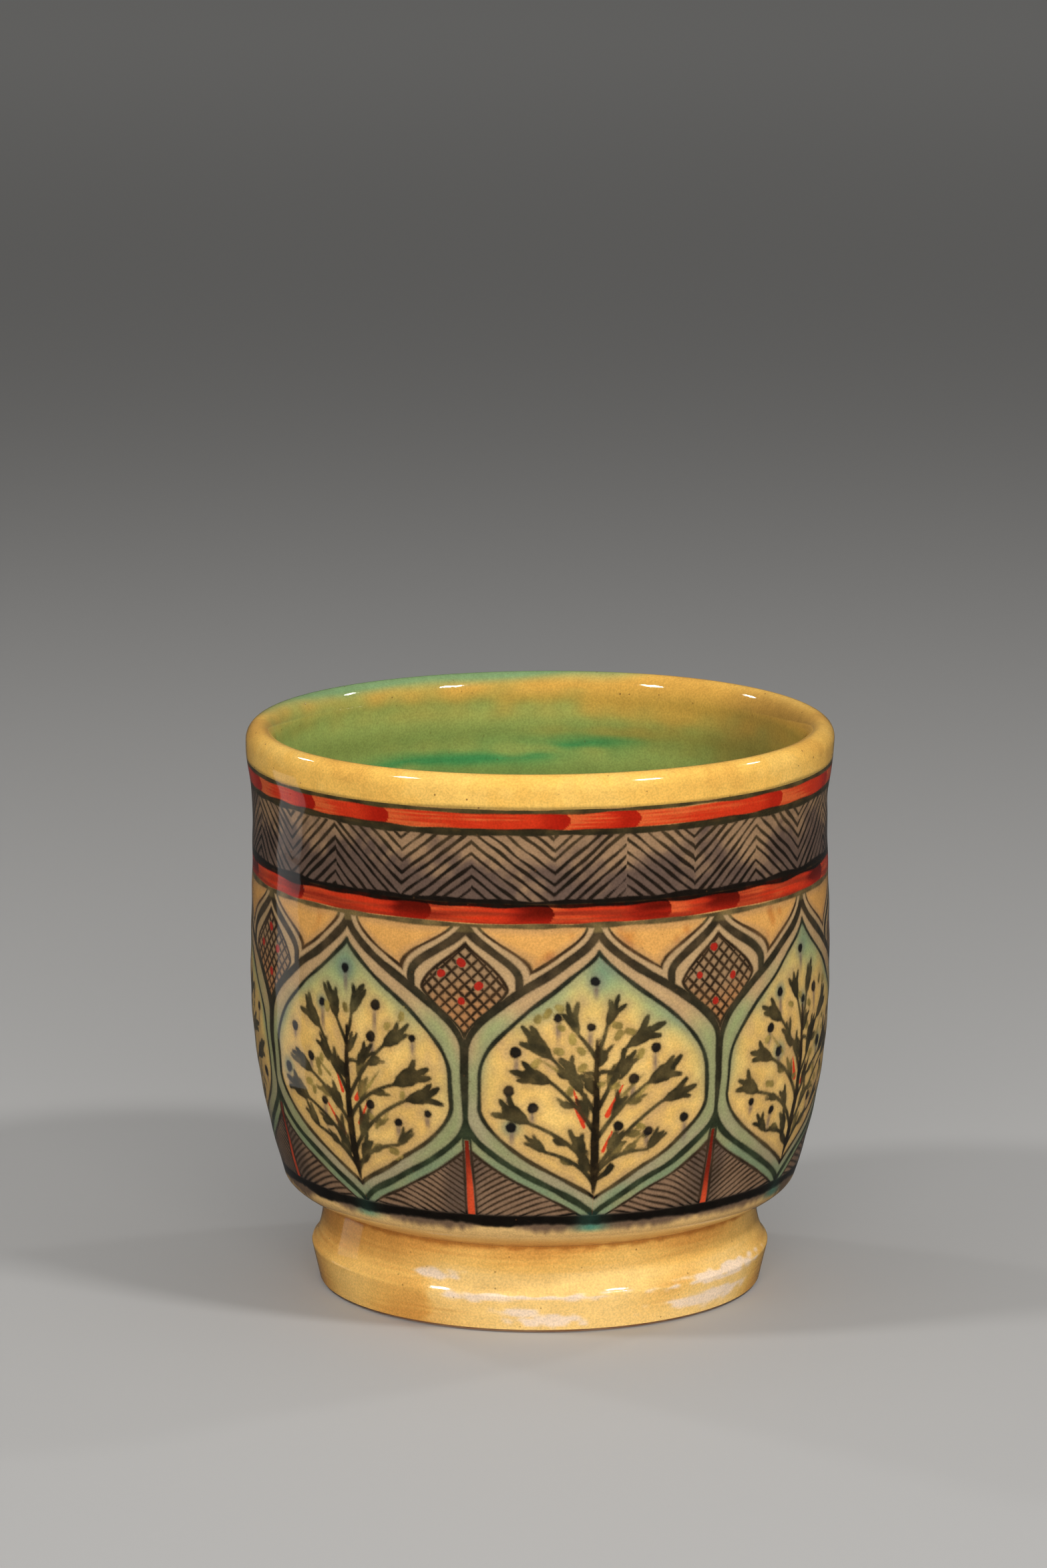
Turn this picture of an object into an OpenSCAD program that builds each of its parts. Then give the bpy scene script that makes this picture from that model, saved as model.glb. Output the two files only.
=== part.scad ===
// Footed drinking cup without a handle, thrown on the wheel and painted under a clear glaze.
// The clay is a bowl and a foot luted on below it. The glaze and the painted bands are thin coats
// that lie edge to edge over the clay, so each coat shares its edge points with its neighbours.
// Heights run up from the table, and every outline is a half section revolved about the Z axis.

/* [Cup] */
// Height from the table to the crest of the lip
cup_h = 87.2; // [72:0.1:110]
// Diameter at the widest part of the lip
lip_d = 90; // [74:0.1:112]
// Thickness of the wall at the belly, with the glaze on both sides
wall_t = 4.2; // [3:0.1:6]
// Thickness of the floor, with its glaze
floor_t = 5.8; // [3.5:0.1:9]

/* [Outside of the bowl] */
// How far the belly lies inside the widest part of the lip
belly_inset = 0.5; // [0.2:0.05:2]
// Height of the belly
belly_z = 48.5; // [36:0.5:56]
// How far the neck under the lip lies inside the widest part of the lip
neck_inset = 1; // [0.3:0.05:2.5]
// Depth of the neck below the crest
neck_drop = 12.6; // [8:0.1:16]
// How far the shoulder, where the wall turns under, lies inside the widest part of the lip
shoulder_inset = 5.45; // [3:0.05:8]
// Height of the shoulder above the waist
shoulder_rise = 4.1; // [3:0.1:7]
// How late the wall starts to draw in below the belly
wall_power = 2; // [1.6:0.05:3]
// Length of the handle that rounds the turn under the shoulder
turn_reach = 2; // [0.5:0.1:3]

/* [Lip] */
// Depth of the widest part of the lip below the crest
lip_drop = 2.3; // [1.5:0.1:4]
// Thickness of the lip
lip_t = 4.9; // [3.6:0.1:6.5]
// How far the crest lies inside the widest part of the lip
crest_inset = 2.1; // [1.2:0.1:3]
// Depth of the lip's rounding on the inside
lip_inner_drop = 4; // [2:0.1:6]

/* [Inside] */
// Fullness of the corner between the wall and the floor
corner_power = 3.5; // [2.4:0.1:5]
// Number of throwing rings on the inside of the wall
ring_count = 5; // [2:1:8]
// How far a throwing ring stands in from the wall
ring_depth = 0.3; // [0.1:0.05:0.6]

/* [Foot] */
// Height of the waist, where the foot meets the bowl
waist_z = 13.3; // [9:0.1:18]
// How far the waist lies inside the widest part of the lip
waist_inset = 11.5; // [9.5:0.1:15]
// How far the turned ridge stands out from the waist
ridge_out = 1.85; // [0.8:0.05:4]
// Height of the turned ridge
ridge_z = 6.1; // [4:0.1:8]
// Height of the steep start of the cove above the ridge
cove_rise = 1.6; // [0.5:0.1:2.5]
// How far the foot draws in from the ridge to the table
foot_draw = 1.35; // [0.3:0.05:3]
// Width of the foot ring at the table
foot_land = 6; // [4:0.1:10]
// How far the foot ring thickens from the table up to the bowl
foot_batter = 2.2; // [0.5:0.1:5]
// Size of the softened edges at the table
foot_edge = 0.4; // [0.3:0.05:1.2]

/* [Glaze and painted bands] */
// Thickness of the glaze coats
glaze_t = 0.4; // [0.2:0.05:0.6]
// Height of bare clay between the softened edge and the foot's glaze
bare_h = 0.1; // [0:0.1:3]
// Height of the bare lip band on the outside
lip_band_h = 4.9; // [3.5:0.1:7]
// Height of the upper red stripe with the lines that border it
upper_red_h = 4; // [3:0.1:6]
// Height of the herringbone band with the black line under it
herringbone_h = 10.7; // [8:0.1:14]
// Height of the lower red stripe with the line under it
lower_red_h = 3; // [2:0.1:5]
// Height of the black line at the foot of the frieze
base_line_h = 1.6; // [1:0.1:5]
// Height of the black line's lower edge above the shoulder
base_line_rise = 0.8; // [0.4:0.1:2]

/* [Hidden] */
$fn = 128;
// Step for taking the slope of the wall's curve
slope_step = 0.001;
// Number of straight pieces in each stretch of the outline
band_steps = 2;
tall_band_steps = 5;
frieze_steps = 18;
lip_rise_steps = 3;
round_steps = 7;
turn_steps = 8;
cove_steps = 8;
corner_steps = 14;
steps_per_ring = 8;

lip_r = lip_d / 2;
lip_z = cup_h - lip_drop;
belly_r = lip_r - belly_inset;
neck_r = lip_r - neck_inset;
neck_z = cup_h - neck_drop;
crest_r = lip_r - crest_inset;
shoulder_r = lip_r - shoulder_inset;
shoulder_z = waist_z + shoulder_rise;
waist_r = lip_r - waist_inset;
ridge_r = waist_r + ridge_out;
base_r = ridge_r - foot_draw;
inner_r = belly_r - wall_t;
lip_inner_r = lip_r - lip_t;
lip_inner_z = cup_h - lip_inner_drop;

// Edges of the painted bands, from the lip down
lip_line_z = cup_h - lip_band_h;
herringbone_top_z = lip_line_z - upper_red_h;
lower_red_top_z = herringbone_top_z - herringbone_h;
frieze_top_z = lower_red_top_z - lower_red_h;
base_line_z = shoulder_z + base_line_rise;
frieze_z = base_line_z + base_line_h;

// A mark is a point of the glazed surface with the direction that faces away from the clay.
function unit(v) = v / norm(v);
function steps(a, b, n) = [for (i = [0:n]) a + (b - a) * i / n];
function ease(t) = (1 - cos(180 * t)) / 2;
function rest(list) = [for (i = [1:len(list) - 1]) list[i]];
function reversed(list) = [for (i = [len(list) - 1:-1:0]) list[i]];

// Radius of the glazed outside between the shoulder and the widest part of the lip
function wall_r(z) =
    z < belly_z
        ? belly_r - (belly_r - shoulder_r) * pow((belly_z - z) / (belly_z - shoulder_z), wall_power)
        : z < neck_z
            ? belly_r - (belly_r - neck_r) * ease((z - belly_z) / (neck_z - belly_z))
            : neck_r + (lip_r - neck_r) * ease((z - neck_z) / (lip_z - neck_z));
function wall_slope(z) = (wall_r(z + slope_step) - wall_r(z - slope_step)) / (2 * slope_step);
function wall_marks(low, high, n) = [for (z = steps(low, high, n)) [[wall_r(z), z], unit([1, -wall_slope(z)])]];

// Curve with one handle, walked from its first point to its last, with the clay on its left
function curve_marks(first, handle, last, n) = [
    for (t = steps(0, 1, n))
        let (along = (1 - t) * (handle - first) + t * (last - handle))
            [pow(1 - t, 2) * first + 2 * t * (1 - t) * handle + t * t * last, unit([along[1], -along[0]])]
];

// Quarter of an oval about a centre, from one angle to another
function oval_marks(centre, half_w, half_h, from, to, n) = [
    for (a = steps(from, to, n))
        [centre + [half_w * cos(a), half_h * sin(a)], unit([half_h * cos(a), half_w * sin(a)])]
];

// Inside of the wall from the lip down to the belly, with the throwing rings
function inside_r(z) =
    let (t = (lip_inner_z - z) / (lip_inner_z - belly_z))
        lip_inner_r + (inner_r - lip_inner_r) * ease(t) - ring_depth * ease(2 * ring_count * t);
function inside_slope(z) = (inside_r(z + slope_step) - inside_r(z - slope_step)) / (2 * slope_step);
function inside_marks() = [
    for (z = steps(lip_inner_z, belly_z, ring_count * steps_per_ring))
        [[inside_r(z), z], unit([-1, inside_slope(z)])]
];

// Rounded corner between the wall and the floor, from the wall to the middle of the floor
floor_z = waist_z + floor_t;
corner_h = belly_z - floor_z;
function corner_marks() = [
    for (a = steps(90, 0, corner_steps))
        let (across = pow(sin(a), 2 / corner_power), down = pow(cos(a), 2 / corner_power))
            [
                [inner_r * across, belly_z - corner_h * down],
                unit([-pow(across, corner_power - 1) / inner_r, pow(down, corner_power - 1) / corner_h])
            ]
];

// Marks of each coat, from its lower or outer end to its upper or inner end
shoulder = [shoulder_r, shoulder_z];
waist = [waist_r, waist_z];
turn_handle = shoulder - turn_reach * unit([wall_slope(shoulder_z), 1]);
turn = curve_marks(waist, turn_handle, shoulder, turn_steps);
waist_marks = concat(turn, rest(wall_marks(shoulder_z, base_line_z, band_steps)));
base_line_marks = wall_marks(base_line_z, frieze_z, band_steps);
frieze_marks = wall_marks(frieze_z, frieze_top_z, frieze_steps);
lower_red_marks = wall_marks(frieze_top_z, lower_red_top_z, band_steps);
herringbone_marks = wall_marks(lower_red_top_z, herringbone_top_z, tall_band_steps);
upper_red_marks = wall_marks(herringbone_top_z, lip_line_z, band_steps);
rim_marks = concat(
    wall_marks(lip_line_z, lip_z, lip_rise_steps),
    rest(oval_marks([crest_r, lip_z], crest_inset, lip_drop, 0, 90, round_steps)),
    rest(oval_marks([crest_r, lip_inner_z], crest_r - lip_inner_r, lip_inner_drop, 90, 180, round_steps))
);
inner_marks = concat(inside_marks(), rest(corner_marks()));

// The foot's outside from the table up to the waist
base_edge = [base_r, foot_edge];
foot_side = unit([ridge_r, ridge_z] - base_edge);
bare_at = base_edge + foot_side * bare_h / foot_side[1];
foot_face = [foot_side[1], -foot_side[0]];
cove = curve_marks([ridge_r, ridge_z], [waist_r, ridge_z + cove_rise], waist, cove_steps);
foot_marks = concat([[bare_at, foot_face], [[ridge_r, ridge_z], foot_face]], rest(cove));

// Inner edges of the coats, one glaze thickness into the clay. Where two coats meet at a corner,
// both end at the point that lies one thickness in from each.
function inset(marks) = [for (m = marks) m[0] - glaze_t * m[1]];
function mitre(at, one, other) = at - glaze_t * (one + other) / (1 + one * other);
waist_in = mitre(waist, turn[0][1], cove[cove_steps][1]);
ridge_in = mitre([ridge_r, ridge_z], foot_face, cove[0][1]);
seat_r = waist_in[0];
seat_z = waist_in[1];
function waist_inset_points() = concat([waist_in], rest(inset(waist_marks)));
function foot_inset_points() =
    concat(
        [bare_at - glaze_t * foot_face, ridge_in],
        [for (i = [1:cove_steps - 1]) cove[i][0] - glaze_t * cove[i][1]],
        [waist_in]
    );
function glazed_points(marks) = [for (m = marks) m[0]];

module revolve(points) rotate_extrude(angle = 360) polygon(points);

// A coat between its glazed face and the clay
module coat(marks, inner) revolve(concat(glazed_points(marks), reversed(inner)));

// Bowl with its wall, floor and rounded lip, flat below where the foot is luted on
module clay_bowl() {
    color("peru")
        revolve(concat(
            [[0, seat_z]],
            waist_inset_points(),
            rest(inset(base_line_marks)),
            rest(inset(frieze_marks)),
            rest(inset(lower_red_marks)),
            rest(inset(herringbone_marks)),
            rest(inset(upper_red_marks)),
            rest(inset(rim_marks)),
            rest(inset(inner_marks))
        ));
}

// Hollow turned foot, wider at the table than at the waist
module foot_ring() {
    clay_edge_r = base_r - glaze_t;
    land_r = clay_edge_r - foot_land;
    color("sandybrown")
        revolve(concat(
            [[land_r + foot_edge, 0], [clay_edge_r - foot_edge, 0], [clay_edge_r, foot_edge]],
            foot_inset_points(),
            [[land_r - foot_batter, seat_z], [land_r, foot_edge]]
        ));
}

module inner_glaze() color("mediumseagreen") coat(inner_marks, inset(inner_marks));
module rim_glaze() color("khaki") coat(rim_marks, inset(rim_marks));
module upper_red_band() color("firebrick") coat(upper_red_marks, inset(upper_red_marks));
module herringbone_band() color("rosybrown") coat(herringbone_marks, inset(herringbone_marks));
module lower_red_band() color("crimson") coat(lower_red_marks, inset(lower_red_marks));
module medallion_frieze() color("darkseagreen") coat(frieze_marks, inset(frieze_marks));
module base_line_band() color("darkslategray") coat(base_line_marks, inset(base_line_marks));
module waist_glaze() color("wheat") coat(waist_marks, waist_inset_points());
module foot_glaze() color("goldenrod") coat(foot_marks, foot_inset_points());

clay_bowl();
foot_ring();
inner_glaze();
rim_glaze();
upper_red_band();
herringbone_band();
lower_red_band();
medallion_frieze();
base_line_band();
waist_glaze();
foot_glaze();
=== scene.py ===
"""Painted and glazed looks of a wheel-thrown footed cup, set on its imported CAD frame.

Every glaze coat of the frame gets a finer mesh, spun from the cup's half section. The painting is worked
out at the points of those meshes as colours and as distances in millimetres, and the materials turn the
distances into brush lines. Angles run round the cup from its front, which is -Y, towards +X.
"""

import logging
import math
from dataclasses import dataclass
from enum import Enum
from functools import partial, reduce

import bpy
import numpy as np
from bpy.types import Material, Mesh, Node, NodeInputs, NodeSocket, NodeTree, Object
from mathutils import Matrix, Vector
from numpy import ndarray as Array
from numpy.random import Generator, default_rng


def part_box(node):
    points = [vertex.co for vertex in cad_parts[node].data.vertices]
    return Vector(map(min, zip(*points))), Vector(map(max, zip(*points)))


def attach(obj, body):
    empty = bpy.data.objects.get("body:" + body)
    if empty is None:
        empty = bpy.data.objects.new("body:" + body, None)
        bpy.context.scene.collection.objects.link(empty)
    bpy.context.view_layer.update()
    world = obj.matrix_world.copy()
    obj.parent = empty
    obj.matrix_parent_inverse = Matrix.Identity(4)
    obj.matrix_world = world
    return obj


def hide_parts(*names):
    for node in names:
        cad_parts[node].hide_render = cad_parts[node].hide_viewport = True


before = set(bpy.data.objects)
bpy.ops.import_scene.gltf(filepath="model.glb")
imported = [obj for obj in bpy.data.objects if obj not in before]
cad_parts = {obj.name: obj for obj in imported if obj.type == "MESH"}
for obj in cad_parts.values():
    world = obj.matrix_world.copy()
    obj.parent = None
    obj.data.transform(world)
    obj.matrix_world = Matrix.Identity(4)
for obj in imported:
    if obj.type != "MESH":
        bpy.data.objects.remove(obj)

MM = 0.001
FULL_TURN = 2.0 * math.pi
# How far from a stroke distances are worked out, and how far its colour reaches, in millimetres.
FAR = 2.5
TONE_REACH = 0.6
# Largest distance from a drop, the limit above which there is none, and the value that says so.
NEAR_DROP = 4.0
BELOW_DROPS = 6.0
NO_DROP = 9.0
SHARP_ANGLE = math.radians(50.0)
LAMP_AIM = (0.0, 0.0, 0.045)
log = logging.getLogger("cup")


class Pigment(Enum):
    """Glazes and brush colours as they look under the clear glaze, in sRGB from 0 to 255."""

    HONEY = (234, 182, 88)
    HONEY_DEEP = (214, 158, 72)
    HONEY_PALE = (240, 195, 105)
    LIP_GREEN = (112, 148, 104)
    INNER_HONEY = (204, 160, 72)
    INNER_OLIVE = (172, 158, 78)
    INNER_GREEN = (152, 167, 89)
    INNER_EMERALD = (44, 138, 82)
    # Brown of the inside glaze, also laid as painted shade on its right side.
    INNER_BROWN_AND_SHADE = (150, 112, 56)
    RED_LIGHT = (212, 94, 46)
    RED = (200, 48, 20)
    RED_DARK = (156, 14, 4)
    RED_DULL = (150, 42, 22)
    RED_DEEP = (86, 0, 0)
    RED_DOT = (162, 35, 24)
    STEM_DARK = (116, 30, 16)
    STEM_LIGHT = (214, 78, 42)
    RED_BRIGHT = (214, 62, 32)
    STRIPE_GROUND = (206, 150, 86)
    LIP_LINE = (66, 58, 32)
    OLIVE_LINE = (48, 42, 24)
    THIN_LINE = (98, 82, 50)
    BLACK = (12, 8, 5)
    BAND_TAN = (152, 119, 86)
    BAND_PURPLE = (90, 70, 60)
    BAND_INK = (24, 17, 11)
    BAND_INK_PALE = (58, 46, 29)
    OUTLINE = (42, 39, 26)
    OUTLINE_HIGH = (58, 47, 31)
    OUTLINE_LOW = (43, 52, 34)
    INNER_LINE = (36, 39, 28)
    INNER_LINE_PALE = (70, 57, 34)
    CHANNEL_TAN = (194, 158, 108)
    CHANNEL_GREEN = (150, 156, 104)
    CHANNEL_DEEP = (170, 160, 120)
    TIP_GREEN = (122, 148, 106)
    TEAL = (86, 124, 104)
    TEAL_PALE = (160, 168, 112)
    CREAM = (228, 182, 100)
    CREAM_LIGHT = (241, 198, 114)
    CREAM_DULL = (206, 164, 104)
    ORANGE = (190, 118, 52)
    PEACH = (216, 158, 84)
    DROP_GROUND = (160, 124, 82)
    HATCH_GROUND = (140, 106, 77)
    HATCH_DARK = (80, 59, 46)
    HATCH_INK = (56, 41, 27)
    CROSS_INK = (46, 32, 19)
    SPANDREL_LINE = (74, 52, 30)
    LEAF = (49, 45, 28)
    LEAF_DARK = (35, 33, 21)
    LEAF_PALE = (98, 84, 46)
    SPRIG_STEM = (19, 14, 9)
    BLOB = (138, 118, 60)
    BERRY = (18, 17, 19)
    BERRY_HALO = (70, 112, 104)
    DRIP = (98, 80, 76)
    SHADE = (132, 112, 94)
    BASE_BLACK = (14, 10, 7)
    BASE_FEATHER = (86, 66, 54)
    BASE_TEAL = (62, 132, 112)
    WAIST_CREAM = (226, 184, 118)
    # Tan of the waist's glaze, also laid as painted shade under the bowl's turn.
    WAIST_TAN_AND_SHADE = (196, 146, 84)
    # Glaze pooled in the foot's crease, also laid as painted shade there.
    FOOT_CREASE_POOL_AND_SHADE = (176, 108, 44)
    FOOT_BASE = (246, 193, 102)
    # Paler honey of the foot, also laid as painted light on its front.
    FOOT_HONEY = (254, 210, 130)
    # Brown of the foot's glaze, also laid as painted shade.
    FOOT_BROWN_AND_SHADE = (212, 142, 64)
    FOOT_WHITE = (254, 226, 196)
    CLAY_PALE = (205, 160, 118)
    CLAY_DARK = (168, 116, 78)

    def __array__(self, dtype: object = None, copy: bool | None = None) -> Array:
        """Colour with channels from 0 to 1, so that a pigment can stand in any formula."""
        return np.array(self.value, dtype=float) / 255.0

    def opaque(self) -> tuple[float, ...]:
        """Linear colour for a shader, with full cover."""
        return (*to_linear(self), 1.0)


def to_linear(colours: Array) -> Array:
    """Turns sRGB colours into the linear ones that shaders use.

    Args:
        colours: Channels from 0 to 1, in any shape.

    Returns:
        Linear channels in the same shape.
    """
    clipped = np.clip(np.asarray(colours), 0.0, 1.0)
    return np.where(clipped <= 0.04045, clipped / 12.92, ((clipped + 0.055) / 1.055) ** 2.4)


def smooth(value: Array, low: float, high: float) -> Array:
    """Rises softly from 0 at low to 1 at high.

    Args:
        value: Values to look at.
        low: Value that gives 0.
        high: Value that gives 1.

    Returns:
        Amounts from 0 to 1.
    """
    part = np.clip((value - low) / (high - low), 0.0, 1.0)
    return part * part * (3.0 - 2.0 * part)


def blend(first: Array, second: Array, amount: Array) -> Array:
    """Mixes two colours or rows of colours.

    Args:
        first: Colour where the amount is 0.
        second: Colour where the amount is 1.
        amount: Amount of the second for each row.

    Returns:
        One colour for each row.
    """
    share = np.clip(np.asarray(amount), 0.0, 1.0)[..., None]
    first, second = np.asarray(first), np.asarray(second)
    return first + (second - first) * share


def ease(part: Array) -> Array:
    """Half a cosine wave from 0 to 1, as the solids use it."""
    return (1.0 - np.cos(math.pi * part)) / 2.0


def wrapped(angle: Array) -> Array:
    """Angle brought to the half turn on either side of zero."""
    return (angle + math.pi) % FULL_TURN - math.pi


@dataclass(frozen=True)
class Drift:
    """Smooth unevenness of a hand, which closes on itself round the cup.

    Attributes:
        seed: Start of its random draws.
        turns: Most waves in one turn round the cup.
        tall: Height of the shortest upright wave in millimetres.
        terms: Number of waves that are added.
    """

    seed: int
    turns: int
    tall: float
    terms: int = 10

    def at(self, theta: Array, z: Array) -> Array:
        """Unevenness at points of the cup.

        Args:
            theta: Angles round the cup.
            z: Heights in millimetres.

        Returns:
            Values about zero, mostly between -2 and 2.
        """
        random = default_rng(self.seed)
        total = np.zeros(np.broadcast(theta, z).shape)
        for _ in range(self.terms):
            around = int(random.integers(-self.turns, self.turns + 1))
            rise = random.uniform(-1.0, 1.0) * FULL_TURN / self.tall
            total += np.sin(around * theta + rise * z + random.uniform(0.0, FULL_TURN))
        return total * math.sqrt(2.0 / self.terms)


@dataclass(frozen=True)
class HalfSection:
    """Half section of the cup in millimetres. A run goes up the outside, over the lip and down inside."""

    height: float
    lip_radius: float
    lip_line: float
    herringbone_top: float
    lower_red_top: float
    frieze_top: float
    frieze_low: float
    base_line_low: float
    waist_height: float
    foot_glaze_low: float
    belly_inset: float = 0.5
    belly_height: float = 48.5
    neck_inset: float = 1.0
    neck_drop: float = 12.6
    shoulder_inset: float = 5.45
    shoulder_rise: float = 4.1
    turn_reach: float = 2.0
    lip_drop: float = 2.3
    lip_thickness: float = 4.9
    crest_inset: float = 2.1
    lip_inner_drop: float = 4.0
    wall: float = 4.2
    floor: float = 5.8
    corner_power: float = 3.5
    ring_count: int = 5
    ring_depth: float = 0.3
    waist_inset: float = 11.5
    ridge_out: float = 1.85
    ridge_height: float = 6.1
    ridge_round: float = 0.35
    cove_rise: float = 1.6
    foot_draw: float = 1.35
    foot_edge: float = 0.4
    glaze: float = 0.4

    @classmethod
    def from_frame(cls) -> "HalfSection":
        """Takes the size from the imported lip, and then each height from the coat that starts there.

        Returns:
            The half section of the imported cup.
        """
        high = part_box("rim_glaze")[1]
        coats = (
            "rim_glaze", "upper_red_band", "herringbone_band", "lower_red_band",
            "medallion_frieze", "base_line_band", "waist_glaze", "foot_glaze",
        )
        return cls(high[2] / MM, high[0] / MM, *(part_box(node)[0][2] / MM for node in coats))

    @property
    def lip_height(self) -> float:
        """Height of the widest part of the lip."""
        return self.height - self.lip_drop

    @property
    def shoulder(self) -> Array:
        """Point where the wall turns under."""
        return np.array([self.lip_radius - self.shoulder_inset, self.waist_height + self.shoulder_rise])

    @property
    def waist(self) -> Array:
        """Point where the foot meets the bowl."""
        return np.array([self.lip_radius - self.waist_inset, self.waist_height])

    @property
    def ridge(self) -> Array:
        """Point of the turned ridge round the foot."""
        return np.array([self.waist[0] + self.ridge_out, self.ridge_height])

    def wall_radius(self, z: Array) -> Array:
        """Outside radius between the shoulder and the widest part of the lip.

        Args:
            z: Heights.

        Returns:
            Radius at each height.
        """
        belly = self.lip_radius - self.belly_inset
        neck = self.lip_radius - self.neck_inset
        neck_height = self.height - self.neck_drop
        shoulder_radius, shoulder_height = self.shoulder
        below = np.clip((self.belly_height - z) / (self.belly_height - shoulder_height), 0.0, None)
        upper = np.clip((z - self.belly_height) / (neck_height - self.belly_height), 0.0, 1.0)
        top = np.clip((z - neck_height) / (self.lip_height - neck_height), 0.0, 1.0)
        return (
            belly
            - (belly - shoulder_radius) * below**2
            - (belly - neck) * ease(upper)
            + (self.lip_radius - neck) * ease(top)
        )

    def wall_run(self, low: float, high: float, step: float) -> Array:
        """Outside of the wall between two heights.

        Args:
            low: Lower end.
            high: Upper end.
            step: Longest step.

        Returns:
            Rows of radius and height.
        """
        heights = np.linspace(low, high, math.ceil((high - low) / step) + 1)
        return np.column_stack((self.wall_radius(heights), heights))

    @staticmethod
    def curve(first: Array, handle: Array, last: Array, count: int) -> Array:
        """Curve with one handle.

        Args:
            first: First point.
            handle: Handle.
            last: Last point.
            count: Number of steps.

        Returns:
            Points from the first to the last.
        """
        part = np.linspace(0.0, 1.0, count + 1)[:, None]
        return (1 - part) ** 2 * first + 2 * part * (1 - part) * handle + part**2 * last

    def waist_run(self) -> Array:
        """Turn under the wall, from the waist up to the base line.

        Returns:
            Rows of radius and height.
        """
        nudge = 0.001
        height = self.shoulder[1]
        slope = (self.wall_radius(height + nudge) - self.wall_radius(height - nudge)) / (2 * nudge)
        along = np.array([slope, 1.0]) / math.hypot(slope, 1.0)
        turn = self.curve(self.waist, self.shoulder - self.turn_reach * along, self.shoulder, 24)
        return np.vstack((turn, self.wall_run(height, self.base_line_low, 0.2)[1:]))

    def foot_run(self) -> Array:
        """Outside of the foot from the glaze's lower edge over the softened ridge and up the cove.

        Returns:
            Rows of radius and height.
        """
        base = np.array([self.ridge[0] - self.foot_draw, self.foot_edge])
        up = (self.ridge - base) / np.linalg.norm(self.ridge - base)
        start = base + up * (self.foot_glaze_low - self.foot_edge) / up[1]
        handle = np.array([self.waist[0], self.ridge[1] + self.cove_rise])
        cove = self.curve(self.ridge, handle, self.waist, 40)
        leave = np.argmax(np.linalg.norm(cove - self.ridge, axis=1) > self.ridge_round)
        side = np.linspace(start, self.ridge - up * self.ridge_round, 14)
        corner = self.curve(side[-1], self.ridge, cove[leave], 8)
        return np.vstack((side, corner[1:], cove[leave + 1 :]))

    def lip_run(self) -> Array:
        """Lip from its painted line on the outside over the crest to its inner edge.

        Returns:
            Rows of radius and height.
        """
        crest = self.lip_radius - self.crest_inset
        inner = self.lip_radius - self.lip_thickness
        inner_height = self.height - self.lip_inner_drop
        outer_turn = np.linspace(0.0, math.pi / 2, 15)[1:]
        inner_turn = np.linspace(math.pi / 2, math.pi, 17)[1:]
        outside = np.column_stack(
            (
                crest + self.crest_inset * np.cos(outer_turn),
                self.lip_height + self.lip_drop * np.sin(outer_turn),
            )
        )
        inside = np.column_stack(
            (
                crest + (crest - inner) * np.cos(inner_turn),
                inner_height + self.lip_inner_drop * np.sin(inner_turn),
            )
        )
        return np.vstack((self.wall_run(self.lip_line, self.lip_height, 0.25), outside, inside))

    def inside_run(self) -> Array:
        """Inside from the lip's inner edge over the throwing rings and the corner to the floor's middle.

        Returns:
            Rows of radius and height.
        """
        lip_inner = self.lip_radius - self.lip_thickness
        lip_inner_height = self.height - self.lip_inner_drop
        inner = self.lip_radius - self.belly_inset - self.wall
        part = np.linspace(0.0, 1.0, 71)
        rings = self.ring_depth * ease(2 * self.ring_count * part)
        wall = np.column_stack(
            (
                lip_inner + (inner - lip_inner) * ease(part) - rings,
                lip_inner_height + (self.belly_height - lip_inner_height) * part,
            )
        )
        turn = np.linspace(math.pi / 2, 0.0, 61)[1:]
        power = 2.0 / self.corner_power
        depth = self.belly_height - self.waist_height - self.floor
        corner = np.column_stack(
            (inner * np.sin(turn) ** power, self.belly_height - depth * np.cos(turn) ** power)
        )
        corner[-1, 0] = 0.0
        return np.vstack((wall, corner))

    def backed(self, run: Array, keep: int) -> Array:
        """Hidden side of a coat, one glaze thickness into the clay.

        Args:
            run: Glazed face of the coat.
            keep: Every how many points one is kept, with both ends.

        Returns:
            Points of the hidden side in the same order.
        """
        along = np.gradient(run, axis=0)
        along /= np.linalg.norm(along, axis=1, keepdims=True)
        away = np.column_stack((along[:, 1], -along[:, 0]))
        hidden = run - self.glaze * away
        hidden[run[:, 0] == 0.0, 0] = 0.0
        chosen = np.unique(np.append(np.arange(0, len(run), keep), len(run) - 1))
        return hidden[chosen]


@dataclass(frozen=True)
class ThrownUnevenness:
    """Small unevenness of a thrown wall and a hand-levelled lip, shared by all coats so that edges meet."""

    swell: float = 0.1
    ripple: float = 0.035
    lip_lean: float = 0.0042
    lip_wave: float = 0.07
    steady_below: float = 16.0
    steady_within: float = 30.0
    lifted_above: float = 80.0

    def moved(self, theta: Array, radius: Array, z: Array) -> tuple[Array, Array]:
        """Moves points of a true body of revolution.

        Args:
            theta: Angles.
            radius: True radii.
            z: True heights.

        Returns:
            New radii and heights.
        """
        free = smooth(z, 0.0, self.steady_below)
        hold = np.clip(radius / self.steady_within, 0.0, 1.0)
        out = self.swell * (np.sin(2 * theta + 0.8) + 0.6 * np.sin(3 * theta + 2.2 + 0.03 * z))
        out = out + self.ripple * (np.sin(0.95 * z + 1.3 * np.sin(theta)) + np.sin(5 * theta + 0.21 * z))
        lift = self.lip_lean * radius * np.sin(theta) + self.lip_wave * np.sin(3 * theta + 1.0)
        share = np.clip(z / self.lifted_above, 0.0, 1.0) ** 2
        return radius + out * free * hold, z + lift * free * share


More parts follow.
